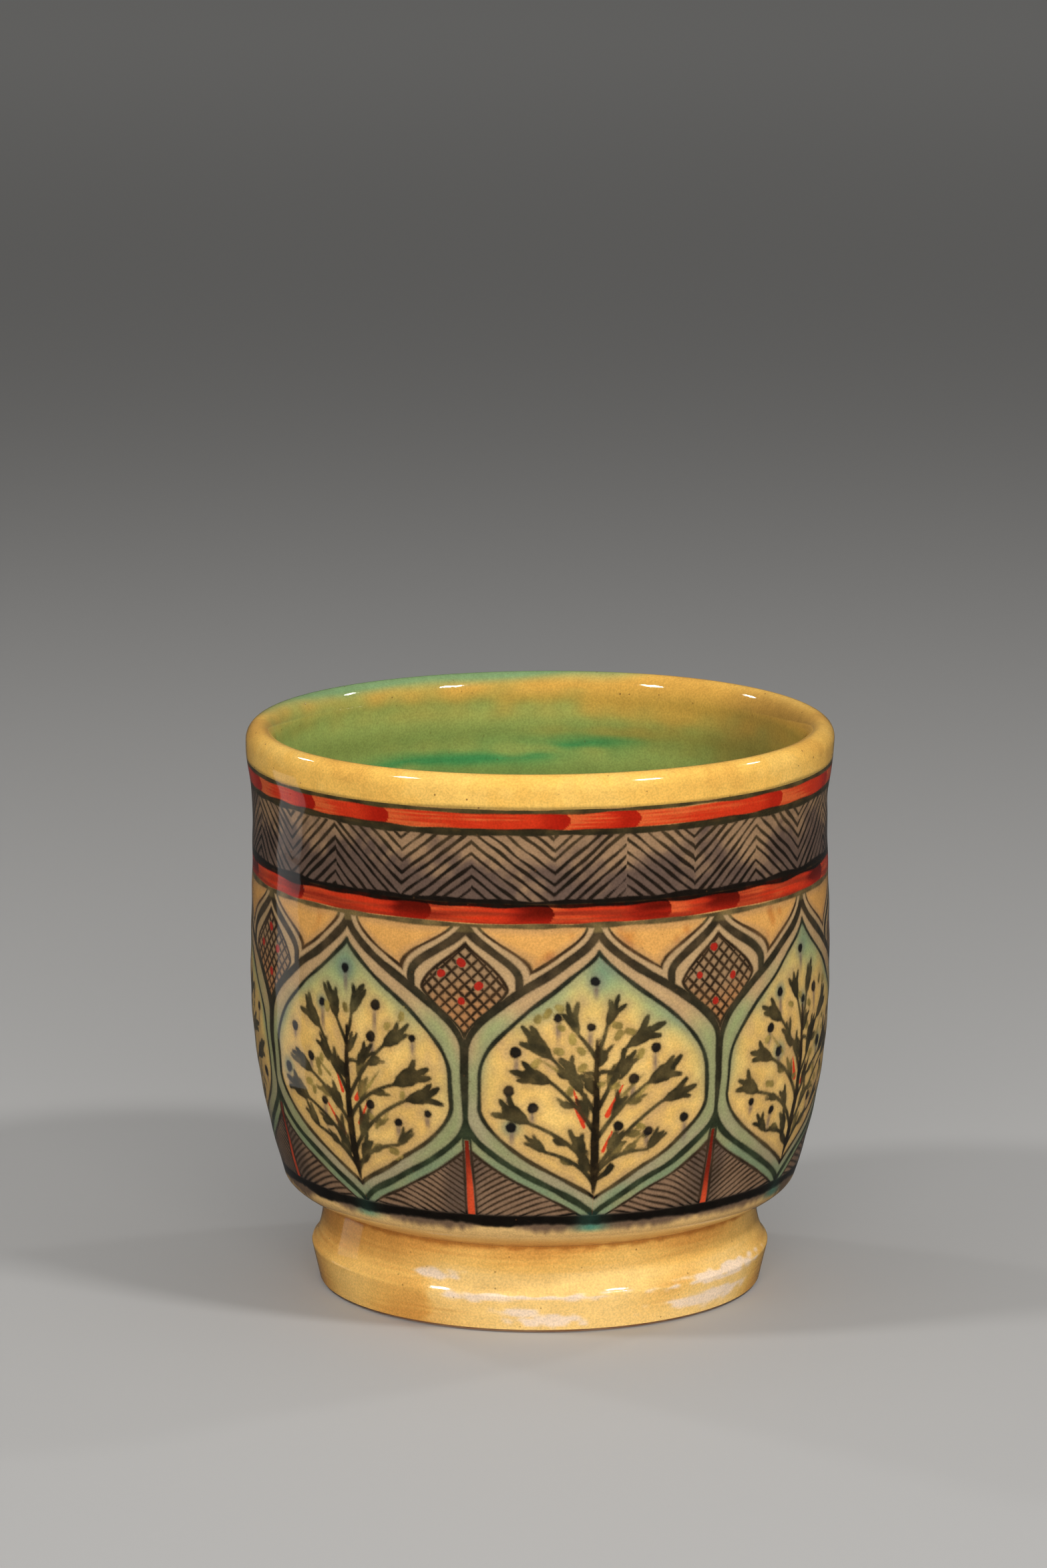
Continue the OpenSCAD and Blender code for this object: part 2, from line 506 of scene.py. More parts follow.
class Layer:
    """Brush strokes as the distance to the nearest edge, negative inside, and colours that blend there.

    Attributes:
        BLEED: How far two colours run into each other.
        COVER: Depths inside an edge from which and at which a stroke hides others.
    """

    BLEED = 0.2
    COVER = (-0.3, 0.15)

    def __init__(self, count: int, pigment: Pigment) -> None:
        """Starts bare, with one colour everywhere."""
        self.distance = np.full(count, FAR)
        self.tone = np.tile(pigment, (count, 1))

    def draw(
        self, distance: Array, tone: Array, rows: Array | slice = slice(None), over: bool = False
    ) -> None:
        """Adds a stroke where it is nearer than what is there.

        Args:
            distance: Distance to the stroke's edge at each row.
            tone: Its colour, or one colour for each row.
            rows: Rows that the stroke may touch.
            over: Whether its colour hides the strokes under it.
        """
        held = self.distance[rows]
        share = smooth(held - distance, -self.BLEED, self.BLEED) * (distance < TONE_REACH)
        if over:
            share = np.maximum(share, smooth(-distance, *self.COVER))
        self.tone[rows] = blend(self.tone[rows], tone, share)
        self.distance[rows] = np.minimum(held, distance)


@dataclass
class Brushwork:
    """Painting at the points of one coat.

    Attributes:
        theta: Angles round the cup.
        z: Heights in millimetres.
        radius: Radii in millimetres.
        wash: Ground colours.
        ink: Dark strokes.
        red: Red strokes.
        lattice: Distances to the outlines of the frieze, negative inside, by name.
        weave: Sideways place between two medallions, height and barb height.
    """

    theta: Array
    z: Array
    radius: Array

    def __post_init__(self) -> None:
        """Starts with cream everywhere and no strokes."""
        count = len(self.theta)
        self.wash = np.tile(Pigment.CREAM, (count, 1))
        self.ink = Layer(count, Pigment.OUTLINE)
        self.red = Layer(count, Pigment.RED)
        self.lattice: dict[str, Array] = {}
        self.weave = np.zeros((count, 3))

    def drift(self, *plan: float) -> Array:
        """Unevenness of a hand at every point, from the plan of a drift."""
        return Drift(*plan).at(self.theta, self.z)

    def wander(self, *plan: float) -> Array:
        """Unevenness that is the same at every height."""
        return Drift(*plan).at(self.theta, np.zeros_like(self.z))

    def tint(self, pigment: Pigment, amount: Array) -> None:
        """Lays a wash over the ground."""
        self.wash = blend(self.wash, pigment, amount)

    def store(self, mesh: Mesh) -> None:
        """Writes the painting to attributes of a mesh with the same points.

        Args:
            mesh: Mesh of the coat.
        """
        vectors = {
            "wash": to_linear(self.wash),
            "ink_tone": to_linear(self.ink.tone),
            "red_tone": to_linear(self.red.tone),
        }
        values = {"ink": self.ink.distance, "red": self.red.distance, **self.lattice}
        if self.lattice:
            vectors["weave"] = self.weave
        for name, rows in vectors.items():
            made = mesh.attributes.new(name, "FLOAT_VECTOR", "POINT")
            made.data.foreach_set("vector", rows.astype(np.float32).ravel())
        for name, row in values.items():
            made = mesh.attributes.new(name, "FLOAT", "POINT")
            made.data.foreach_set("value", row.astype(np.float32))


@dataclass(frozen=True)
class Stroke:
    """Stroke of a round brush.

    Attributes:
        points: Rows of sideways place and height in millimetres.
        widths: Half width at each point.
        pigment: Colour of the stroke.
        thin: How far the ground shows through.
        over: Whether its colour hides the strokes under it.
    """

    points: Array
    widths: Array
    pigment: Pigment
    thin: float = 0.0
    over: bool = False


class Patch:
    """Part of a painting near one upright line, flattened to sideways place and height."""

    def __init__(self, work: Brushwork, centre: float, reach: float) -> None:
        """Collects the points within reach of the line.

        Args:
            work: Painting of the whole coat.
            centre: Angle of the line.
            reach: Widest sideways distance in millimetres.
        """
        aside = work.radius * wrapped(work.theta - centre)
        rows = np.flatnonzero(np.abs(aside) < reach)
        self.rows = rows[np.argsort(aside[rows])]
        self.aside = aside[self.rows]
        self.z = work.z[self.rows]
        self.work = work

    def near(self, points: Array, margin: float) -> Array:
        """Places in this patch that lie in the box round some points.

        Args:
            points: Rows of sideways place and height.
            margin: Room round the box.

        Returns:
            Indices into the patch.
        """
        low = points.min(axis=0) - margin
        high = points.max(axis=0) + margin
        first, last = np.searchsorted(self.aside, (low[0], high[0]))
        inside = (self.z[first:last] > low[1]) & (self.z[first:last] < high[1])
        return first + np.flatnonzero(inside)

    def brush(self, layer: Layer, stroke: Stroke) -> None:
        """Paints a stroke into a layer.

        Args:
            layer: Layer of the same painting.
            stroke: Stroke in this patch's own place.
        """
        for start, end, width, next_width in zip(
            stroke.points[:-1], stroke.points[1:], stroke.widths[:-1], stroke.widths[1:]
        ):
            picked = self.near(np.array([start, end]), FAR + max(width, next_width))
            if len(picked) == 0:
                continue
            step = end - start
            away = np.column_stack((self.aside[picked], self.z[picked])) - start
            part = np.clip(away @ step / max(step @ step, 1e-9), 0.0, 1.0)
            gap = np.linalg.norm(away - part[:, None] * step, axis=1)
            rows = self.rows[picked]
            tone = blend(stroke.pigment, self.work.wash[rows], stroke.thin)
            layer.draw(gap - width - part * (next_width - width), tone, rows, stroke.over)

    def stain(self, centre: Array, size: tuple[float, float], pigment: Pigment, amount: float) -> None:
        """Lays a soft stain on the ground.

        Args:
            centre: Sideways place and height.
            size: Half its width and half its height in millimetres.
            pigment: Colour.
            amount: Strength in the middle.
        """
        picked = self.near(centre[None, :], 2.5 * max(size))
        aside = (self.aside[picked] - centre[0]) / size[0]
        above = (self.z[picked] - centre[1]) / size[1]
        rows = self.rows[picked]
        self.work.wash[rows] = blend(
            self.work.wash[rows], pigment, amount * np.exp(-(aside**2) - above**2)
        )

    def free_room(self, place: Array) -> float:
        """Distance from a place to the nearest dark stroke, read at the nearest point of the mesh."""
        nearest = np.argmin((self.aside - place[0]) ** 2 + (self.z - place[1]) ** 2)
        return float(self.work.ink.distance[self.rows[nearest]])


@dataclass(frozen=True)
class RedStripe:
    """Red stripe laid in one brush stroke after another round the cup.

    Attributes:
        low: Lower edge.
        high: Upper edge.
        strokes: Number of strokes in one turn.
        seed: Start of its random draws.
        cap: Length of a stroke's rounded end.
        dark: How far its blotches are darkened.
    """

    low: float
    high: float
    strokes: int
    seed: int
    cap: float = 1.0
    dark: float = 0.0

    def paint(self, work: Brushwork) -> None:
        """Lays the stripe.

        Args:
            work: Painting of a coat of the wall.
        """
        random = default_rng(self.seed)
        places = np.arange(self.strokes) + random.uniform(-0.28, 0.28, self.strokes)
        starts = np.sort(places / self.strokes)
        depth = np.append(random.uniform(0.55, 1.0, self.strokes), 0.8)
        middle = (self.low + self.high) / 2 + 0.07 * work.drift(self.seed + 3, 9, 60.0, 6)
        half = (self.high - self.low) / 2 * (1.0 + 0.04 * work.drift(self.seed + 4, 24, 60.0, 8))
        turn_length = FULL_TURN * work.radius
        rounding = self.cap * np.clip((work.z - middle) / half, -1.0, 1.0) ** 2
        place = (work.theta / FULL_TURN + rounding / turn_length) % 1.0
        index = np.searchsorted(starts, place, side="right") - 1
        before_first = index < 0
        begin = starts[index] - before_first
        end = np.append(starts[1:], starts[0] + 1.0)[index] - before_first
        along = np.clip((place - begin) / (end - begin), 0.0, 1.0)
        to_end = (end - place) * turn_length
        streak = work.drift(self.seed + 1, 12, 0.5, 16)
        mottle = work.drift(self.seed + 2, 60, 2.5, 12)
        strength = 0.1 + 0.85 * along + 0.15 * streak + 0.07 * mottle
        tone = blend(Pigment.RED_LIGHT, Pigment.RED, smooth(strength, 0.05, 0.62))
        blotch = work.drift(self.seed + 5, 22, 1.4, 14)
        tone = blend(tone, Pigment.RED_DULL, self.dark * smooth(0.8 * blotch - 0.8 * streak, -2.0, 2.0))
        wet = depth[index] * (1.0 - smooth(to_end, 1.5, 6.0 + 3.5 * self.dark))
        tone = blend(tone, Pigment.RED_DARK, wet)
        high = smooth((work.z - middle) / half, -1.3, 0.4)
        tone = blend(tone, Pigment.RED_DEEP, self.dark * high * smooth(wet + 0.15 * blotch, 0.1, 0.65))
        work.red.draw(np.abs(work.z - middle) - half, tone)


@dataclass(frozen=True)
class RingLine:
    """Dark line drawn round the cup.

    Attributes:
        middle: Height of its middle.
        half: Half its width.
        pigment: Colour.
        rough: How uneven its width is.
        seed: Start of its random draws.
    """

    middle: float
    half: float
    pigment: Pigment
    rough: float
    seed: int

    def paint(self, work: Brushwork) -> None:
        """Draws the line.

        Args:
            work: Painting of a coat of the wall.
        """
        middle = self.middle + 0.06 * work.wander(self.seed, 8, 60.0, 6)
        width = 1.0 + self.rough * work.wander(self.seed + 1, 36, 60.0, 12)
        work.ink.draw(np.abs(work.z - middle) - self.half * np.clip(width, 0.6, 1.5), self.pigment)


@dataclass(frozen=True)
class Herringbone:
    """Ring of nested chevrons between the two stripes.

    Attributes:
        low: Lower edge.
        high: Upper edge.
        count: Number of chevrons round the cup.
        first: Angle of the dip near the front, in degrees.
        slope: Rise of the lines for each millimetre sideways.
        spacing: Upright distance between neighbouring lines.
        half: Half the width of a line.
        seed: Start of its random draws.
    """

    low: float
    high: float
    count: int = 12
    first: float = 1.7
    slope: float = 0.83
    spacing: float = 1.74
    half: float = 0.25
    seed: int = 51

    def paint(self, work: Brushwork) -> None:
        """Lays the ground and draws the lines.

        Args:
            work: Painting of a coat of the wall.
        """
        height = (work.z - self.low) / (self.high - self.low)
        blot = work.drift(self.seed, 26, 9.0, 14)
        fine = work.drift(self.seed + 3, 120, 2.5, 16)
        ground = blend(
            Pigment.BAND_PURPLE, Pigment.BAND_TAN, smooth(height + 0.3 * blot + 0.12 * fine, 0.1, 1.1)
        )
        inside = (work.z > self.low - 0.2) & (work.z < self.high + 0.2)
        work.wash = np.where(inside[:, None], ground, work.wash)
        random = default_rng(self.seed)
        pitch = FULL_TURN / self.count
        nearest = np.round((work.theta - math.radians(self.first)) / pitch).astype(int) % self.count
        places = np.arange(self.count) + random.uniform(-0.04, 0.04, self.count)
        dips = math.radians(self.first) + pitch * places
        lean = self.slope * random.uniform(0.93, 1.08, (self.count, 2))
        shift = random.uniform(-0.5, 0.5, (self.count, 1)) + random.uniform(-0.08, 0.08, (self.count, 2))
        strays = random.uniform(-0.13, 0.13, (self.count, 2, 16))
        aside = work.radius * wrapped(work.theta - dips[nearest])
        right = (aside > 0.0).astype(int)
        sway = 0.07 * work.drift(self.seed + 1, 60, 9.0, 12)
        slope = lean[nearest, right]
        level = (work.z - slope * np.abs(aside) + sway) / self.spacing + shift[nearest, right]
        level = level + strays[nearest, right, np.round(level).astype(int) % 16]
        gap = np.abs(level - np.round(level)) * self.spacing / np.sqrt(1.0 + slope**2)
        half = self.half * (1.0 + 0.18 * work.drift(self.seed + 2, 60, 5.0, 12))
        ends = np.maximum(self.low - work.z, work.z - self.high)
        tone = blend(Pigment.BAND_INK, Pigment.BAND_INK_PALE, smooth(height + 0.12 * blot, 0.35, 0.95))
        work.ink.draw(np.maximum(gap - half, ends), tone)


@dataclass(frozen=True)
class Ogee:
    """Outline that swells from an upper tip and draws in to a lower one.

    Attributes:
        top: Height of the upper tip.
        half: Half the width under the upper tip.
        upper_tall: How far below the upper tip it is reached.
        upper_power: How sharply the outline draws in to that tip.
        low: Height of the lower tip.
        lower_half: Half the width above the lower tip.
        lower_tall: How far above the lower tip it is reached.
        lower_power: How sharply the outline draws in to that tip.
    """

    top: float
    half: float
    upper_tall: float
    upper_power: float
    low: float
    lower_half: float
    lower_tall: float
    lower_power: float

    def half_width(self, z: Array) -> Array:
        """Half width at some heights.

        Args:
            z: Heights.

        Returns:
            Half widths, zero above and below the tips.
        """
        fall = np.clip((self.top - z) / self.upper_tall, 0.0, 1.0)
        rise = np.clip((z - self.low) / self.lower_tall, 0.0, 1.0)
        upper = self.half * np.sin(math.pi / 2 * fall) ** self.upper_power
        lower = self.lower_half * np.sin(math.pi / 2 * rise) ** self.lower_power
        return np.minimum(upper, lower)

    def distance(self, aside: Array, z: Array) -> Array:
        """Distance to the outline, negative inside.

        Args:
            aside: Sideways places from its middle.
            z: Heights.

        Returns:
            Distances in millimetres.
        """
        nudge = 0.05
        slope = (self.half_width(z + nudge) - self.half_width(z - nudge)) / (2 * nudge)
        side = (np.abs(aside) - self.half_width(z)) / np.sqrt(1.0 + slope**2)
        past = np.maximum(z - self.top, self.low - z)
        return np.where(past > 0.0, np.hypot(aside, past), side)

    def reach(self, start: Array, turn: float) -> float:
        """How far a straight line goes before it leaves the outline.

        Args:
            start: Point inside, as sideways place and height.
            turn: Direction in radians from upright.

        Returns:
            Length in millimetres.
        """
        lengths = np.linspace(0.0, 40.0, 401)
        aside, up = start[:, None] + lengths * heading(turn)[:, None]
        return float(lengths[np.argmax(self.distance(aside, up) > 0.0)])


def heading(turn: float) -> Array:
    """Step of one millimetre in a direction given in radians from upright."""
    return np.array([math.sin(turn), math.cos(turn)])


@dataclass(frozen=True)
class Tier:
    """Pair of branches of a sprig.

    Attributes:
        rise: Height where they leave the stem.
        fan: Direction of their leaves' tips seen from the stem's foot, in degrees from upright.
        share: How far out the tips are, as a share of the way to the panel's edge.
        lean: Direction in which the leaves point, in degrees from upright.
        leaf: Size of the leaves, as a share of the usual one.
    """

    rise: float
    fan: float
    share: float
    lean: float
    leaf: float = 1.0


@dataclass
class Sprig:
    """Leafy sprig inside a medallion, laid out by rule from random numbers.

    Attributes:
        patch: Flattened medallion.
        panel: Inner line of the medallion.
        random: Random numbers.
        foot: Height of the stem's lower end.
        top: Height where the stem ends between its two top stalks.
        tiers: Pairs of branches from the lowest up.
        leaf_size: Length of an end leaf.
        berries: Number of berries in the gaps.
        blobs: Number of clusters of pale blobs.
    """

    patch: Patch
    panel: Ogee
    random: Generator
    foot: float = 22.9
    top: float = 47.5
    tiers: tuple[Tier, ...] = (
        Tier(25.6, 51.0, 0.58, 40.0, 0.68),
        Tier(27.3, 47.0, 0.87, 66.0),
        Tier(31.8, 35.0, 0.82, 63.0),
        Tier(36.8, 22.5, 0.92, 53.0),
        Tier(41.0, 12.5, 0.7, 30.0, 0.75),
        Tier(45.3, 7.5, 0.9, 20.0, 0.88),
    )
    leaf_size: float = 5.7
    berries: int = 11
    blobs: int = 22

    def ink(self, *stroke: object, over: bool = False) -> None:
        """Paints a dark stroke, given as points, half widths, colour and thinness."""
        self.patch.brush(self.patch.work.ink, Stroke(*stroke, over=over))

    def leaf(self, base: Array, turn: float, size: float, pigment: Pigment, lobes: int = 3) -> None:
        """Paints a plump leaf whose end parts into short fingers.

        Args:
            base: Where the leaf joins its branch.
            turn: Direction in radians from upright.
            size: Length of the leaf.
            pigment: Colour.
            lobes: Number of fingers, one to three.
        """
        uniform = self.random.uniform
        side = self.random.choice((-1.0, 1.0))
        spreads = ((0.0, 1.0), (0.48 * side, 0.92), (-0.46 * side, 0.84))
        if lobes < 3:
            spreads = ((0.24 * side, 1.0), (-0.34 * side, 0.84))[:lobes]
        palm = np.array([base + part * size * heading(turn) for part in (0.0, 0.24, 0.48, 0.66)])
        plump = uniform(0.85, 1.1)
        widths = plump * size * np.array([0.05, 0.17, 0.23, 0.15])
        over = pigment is not Pigment.LEAF_PALE
        self.ink(palm, widths, pigment, uniform(0.0, 0.18), over=over)
        root = base + 0.34 * size * heading(turn)
        shares = np.array([0.0, 0.45, 0.8, 1.0])
        for spread, share in spreads:
            reach = 0.68 * size * share * uniform(0.86, 1.14)
            bend = turn + spread + uniform(-0.12, 0.12)
            curl = uniform(-0.3, 0.3)
            points = [root + part * reach * heading(bend + curl * (part - 0.5)) for part in shares]
            widths = size * np.array([0.09, 0.095, uniform(0.08, 0.1), uniform(0.05, 0.07)])
            self.ink(np.array(points), widths, pigment, uniform(0.0, 0.2), over=over)

    def branch(self, tier: Tier, side: float, stem: Array) -> None:
        """Paints a branch over the small leaves along it, then its end leaf and a red stroke beside it.

        Args:
            tier: Layout of the branch.
            side: -1 for the left and 1 for the right.
            stem: Points of the stem.
        """
        random = self.random
        uniform = random.uniform
        height = tier.rise + uniform(-1.2, 1.2)
        start = np.array([np.interp(height, stem[:, 1], stem[:, 0]), height])
        root = np.array([0.0, self.foot + 1.5])
        fan = side * math.radians(tier.fan + uniform(-2.5, 2.5))
        tip = root + self.panel.reach(root, fan) * tier.share * uniform(0.97, 1.03) * heading(fan)
        lean = side * math.radians(tier.lean + uniform(-9.0, 9.0))
        size = self.leaf_size * tier.leaf * uniform(0.9, 1.1)
        base = tip - size * heading(lean)
        span = np.linalg.norm(base - start)
        line = HalfSection.curve(start, start + 0.5 * span * heading(side * math.radians(28.0)), base, 8)
        if span > 6.0:
            place = int(random.integers(2, 4))
            tone = Pigment.LEAF_PALE if random.random() < 0.25 else Pigment.LEAF
            turn = side * uniform(0.2, 0.5)
            self.leaf(line[place], turn, uniform(3.9, 4.8), tone, 2)
            turn = lean + side * uniform(0.1, 0.4)
            tone = Pigment.LEAF if random.random() < 0.4 else Pigment.LEAF_PALE
            self.leaf(line[place + 2], turn, uniform(2.9, 3.5), tone, 1)
        widths = np.linspace(0.42, 0.28, len(line))
        self.ink(line, widths, Pigment.LEAF, uniform(0.0, 0.15), over=True)
        dark = Pigment.LEAF_DARK if random.random() < 0.5 else Pigment.LEAF
        self.leaf(base, lean, size, dark)
        if 30.0 < tier.rise < 40.0 and random.random() < 0.75:
            foot = start + np.array([side * uniform(0.9, 1.8), uniform(-1.5, 1.5)])
            length = uniform(2.4, 5.4)
            dab = np.array([foot, foot + length * heading(side * uniform(0.3, 0.6))])
            widths = np.array([uniform(0.28, 0.52), 0.14])
            self.patch.brush(self.patch.work.red, Stroke(dab, widths, Pigment.RED_BRIGHT))

    def berry(self, place: Array, size: float) -> None:
        """Paints a dark berry whose colour has run down in the glaze.

        Args:
            place: Middle of the berry.
            size: Its radius.
        """
        random = self.random
        run = random.uniform(1.0, 2.4)
        if random.random() < 0.2:
            self.patch.stain(place, (size + 0.4, size + 0.4), Pigment.BERRY_HALO, 0.7)
        below = place - np.array([random.uniform(-0.2, 0.2), run])
        self.patch.stain(below, (0.4, 0.75 * run), Pigment.DRIP, 0.75)
        drop = np.array([place, place + random.uniform(-0.2, 0.2, 2)])
        self.ink(drop, size * np.array([0.95, 0.8]), Pigment.BERRY)

    def is_free(self, place: Array, inset: float, room: float) -> bool:
        """Whether a place is so far inside the panel and has that much room to the dark strokes."""
        inside = self.panel.distance(place[:1], place[1:])[0] < -inset
        return bool(inside) and self.patch.free_room(place) > room

    def scatter(self) -> None:
        """Fills the gaps between the leaves with berries, pale blobs and thin pale strokes."""
        uniform = self.random.uniform
        self.berry(np.array([uniform(-0.6, 0.6), self.panel.top - 4.4]), 0.8)
        taken = []
        for _ in range(400):
            if len(taken) == self.berries:
                break
            place = np.array([uniform(-16.0, 16.0), uniform(29.0, 54.0)])
            apart = all(np.linalg.norm(place - other) > 4.2 for other in taken)
            if apart and self.is_free(place, 1.9, 0.6):
                taken.append(place)
                self.berry(place, uniform(0.68, 1.02))
        for _ in range(self.blobs):
            place = np.array([uniform(-11.0, 11.0), uniform(28.0, 50.0)])
            turn = uniform(0.0, FULL_TURN)
            for step in range(int(self.random.integers(2, 5))):
                spot = place + 1.15 * step * heading(turn + 0.5 * step)
                if self.is_free(spot, 1.5, 0.3):
                    dab = np.array([spot, spot + uniform(0.3, 0.9) * heading(turn + 0.8)])
                    widths = uniform(0.42, 0.66, 2)
                    self.ink(dab, widths, Pigment.BLOB, uniform(0.0, 0.25))
        for side in (-1.0, 1.0, 1.0):
            foot = np.array([side * uniform(3.0, 6.0), uniform(31.0, 44.0)])
            length = uniform(3.0, 5.0)
            line = np.array([foot, foot + length * heading(side * uniform(0.6, 1.0))])
            self.ink(line, np.array([0.3, 0.1]), Pigment.BLOB)

    def paint(self) -> None:
        """Paints the whole sprig."""
        random = self.random
        heights = np.append(self.foot + np.array([0.0, 3.5, 9.0, 15.0, 20.0]), self.top)
        bow = random.uniform(-0.5, 0.5)
        sway = bow * np.sin(np.linspace(0.2, 3.0, 6)) + random.uniform(-0.12, 0.12, 6)
        stem = np.column_stack((sway, heights))
        for tier in self.tiers:
            for side in (-1.0, 1.0):
                self.branch(tier, side, stem)
        bud_side = random.choice((-1.0, 1.0))
        bud = stem[1] + np.array([[0.0, -1.0], [bud_side * 1.9, 0.4], [bud_side * 2.4, 1.2]])
        self.ink(bud, np.array([0.3, 0.55, 0.62]), Pigment.LEAF_DARK)
        self.leaf(stem[4] + np.array([0.2, 0.4]), 0.45, 3.6, Pigment.LEAF, 2)
        self.leaf(stem[3] + np.array([-0.2, 1.2]), -0.5, 3.8, Pigment.LEAF, 2)
        self.ink(stem, np.array([0.15, 0.7, 0.7, 0.55, 0.42, 0.28]), Pigment.SPRIG_STEM, over=True)
        self.scatter()


@dataclass(frozen=True)
class Frieze:
    """Ring of ogee medallions with sprigs, with drops above and feathered spandrels below between them.

    Attributes:
        medallion: Outline of a medallion.
        panel: Line inside it, round the sprig.
        drop: Outline of a drop. It has no lower end, where medallions close it.
        onion: Line inside a drop, round the crossed lines.
        count: Number of medallions.
        first: Angle of the one at the front, in degrees.
        seed: Start of its random draws.
    """

    medallion: Ogee
    panel: Ogee
    drop: Ogee
    onion: Ogee
    count: int = 7
    first: float = 11.2
    seed: int = 7

    @classmethod
    def between(cls, low: float, top: float) -> "Frieze":
        """Lays out the frieze between two heights.

        Args:
            low: Height of the medallions' lower tips.
            top: Height of their upper tips.

        Returns:
            The frieze.
        """
        return cls(
            medallion=Ogee(top - 0.2, 19.7, 18.6, 1.7, low, 19.7, 15.8, 1.4),
            panel=Ogee(top - 3.85, 17.6, 19.0, 1.3, low + 2.9, 17.7, 15.2, 1.16),
            drop=Ogee(top + 0.6, 8.5, 8.6, 2.1, low, 8.5, 1.0, 1.0),
            onion=Ogee(top - 2.6, 6.7, 7.5, 1.3, top - 17.0, 7.0, 9.0, 1.7),
        )

    @property
    def pitch(self) -> float:
        """Angle from one medallion to the next."""
        return FULL_TURN / self.count

    def centres(self) -> Array:
        """Angles of the medallions."""
        return math.radians(self.first) + self.pitch * np.arange(self.count)

    def paint(self, work: Brushwork) -> None:
        """Paints the whole ring on its own coat.

        Args:
            work: Painting of a coat of the wall.
        """
        if work.z.max() <= self.medallion.low + 1.0 or work.z.min() >= self.medallion.top - 1.0:
            return
        first = math.radians(self.first)
        steps = (work.theta - first) / self.pitch
        sway = 0.11 * work.drift(self.seed, 40, 16.0, 14)
        aside = work.radius * wrapped(work.theta - first - np.round(steps) * self.pitch) + sway
        between = work.radius * wrapped(work.theta - first - (np.floor(steps) + 0.5) * self.pitch) + sway
        above = work.z > (self.medallion.top + self.medallion.low) / 2 + 2.0
        work.lattice = {
            "medallion": self.medallion.distance(aside, work.z),
            "panel": self.panel.distance(aside, work.z),
            "drop": np.where(above, np.minimum(self.drop.distance(between, work.z), NEAR_DROP), NO_DROP),
            "onion": np.where(above, self.onion.distance(between, work.z), NO_DROP),
        }
        barb = work.z - 0.75 * np.abs(between) + 0.02 * between**2
        work.weave = np.column_stack((between, work.z, barb + sway))
        self.lay_grounds(work, np.abs(between))
        for index, centre in enumerate(self.centres()):
            random = default_rng(self.seed * 100 + index)
            patch = Patch(work, centre, self.medallion.half)
            patch.stain(np.array([0.0, self.panel.top - 4.2]), (1.8, 2.0), Pigment.BERRY_HALO, 0.5)
            Sprig(patch, self.panel, random).paint()
            self.dot_drop(Patch(work, centre + self.pitch / 2, self.drop.half), random)

    def dot_drop(self, patch: Patch, random: Generator) -> None:
        """Dots a drop with red.

        Args:
            patch: Flattened drop.
            random: Random numbers.
        """
        for share, aside in zip((0.2, 0.36, 0.45, 0.66), (-0.9, -3.6, 2.6, -0.6)):
            height = self.onion.top - share * (self.onion.top - self.onion.low)
            place = np.array([aside, height]) + random.uniform(-0.9, 0.9, 2)
            dab = np.array([place, place + random.uniform(-0.25, 0.25, 2)])
            patch.brush(patch.work.red, Stroke(dab, random.uniform(0.54, 0.72, 2), Pigment.RED_DOT))

    def lay_grounds(self, work: Brushwork, from_gap: Array) -> None:
        """Lays the grounds of the medallions, drops and spandrels and the colours of their lines.

        Args:
            work: Painting of a coat of the wall.
            from_gap: Sideways distance from the nearest middle between two medallions.
        """
        lattice = work.lattice
        medallion, panel, drop, onion = (lattice[name] for name in ("medallion", "panel", "drop", "onion"))
        up = (work.z - self.medallion.low) / (self.medallion.top - self.medallion.low)
        blot = work.drift(self.seed + 1, 34, 13.0, 16)
        fine = work.drift(self.seed + 2, 120, 3.5, 18)
        depth = np.clip(-panel, 0.0, None)
        inside = blend(Pigment.CREAM, Pigment.CREAM_LIGHT, smooth(0.6 * blot + 0.3 * fine, -0.5, 1.5))
        inside = blend(inside, Pigment.CREAM_DULL, 0.6 * smooth(-0.7 * blot + 0.4 * fine, 0.5, 1.9))
        rim = np.exp(-depth / (1.3 + 0.9 * np.clip(up, 0.0, 1.0))) * (0.75 + 0.3 * blot)
        inside = blend(inside, Pigment.TEAL_PALE, 0.85 * rim * smooth(up, 0.3, 0.55))
        inside = blend(inside, Pigment.TEAL, 0.7 * rim**2 * smooth(up, 0.36, 0.62))
        inside = blend(inside, Pigment.CREAM_DULL, 0.7 * rim * (1.0 - smooth(up, 0.2, 0.4)))
        inside = blend(inside, Pigment.TEAL_PALE, 0.9 * smooth(up + 0.035 * blot, 0.66, 0.84))
        inside = blend(inside, Pigment.TEAL, 0.75 * smooth(up + 0.03 * blot, 0.8, 0.94))
        channel = blend(Pigment.CHANNEL_DEEP, Pigment.CHANNEL_GREEN, smooth(up + 0.1 * blot, 0.12, 0.42))
        channel = blend(channel, Pigment.CHANNEL_TAN, smooth(up + 0.06 * blot, 0.52, 0.78))
        channel = blend(Pigment.TIP_GREEN, channel, smooth(up + 0.02 * blot, 0.0, 0.1))
        warm = smooth(0.6 * blot + 0.5 * fine - 8.0 * (up - 0.9), 0.0, 2.0)
        spandrel = blend(Pigment.PEACH, Pigment.ORANGE, 0.95 * warm)
        upper_gap = np.minimum(medallion, drop)
        outside = blend(Pigment.CHANNEL_TAN, spandrel, smooth(upper_gap, 1.5, 2.0))
        low_drop = 1.0 - smooth(work.z + blot, 50.0, 57.0)
        crossed = blend(Pigment.DROP_GROUND, Pigment.ORANGE, 0.7 * low_drop)
        in_drop = blend(crossed, Pigment.CHANNEL_TAN, smooth(onion, -0.1, 0.3))
        outside = np.where((drop < 0.0)[:, None], in_drop, outside)
        hatch = blend(Pigment.HATCH_DARK, Pigment.HATCH_GROUND, smooth(from_gap + 1.5 * blot, 0.5, 7.0))
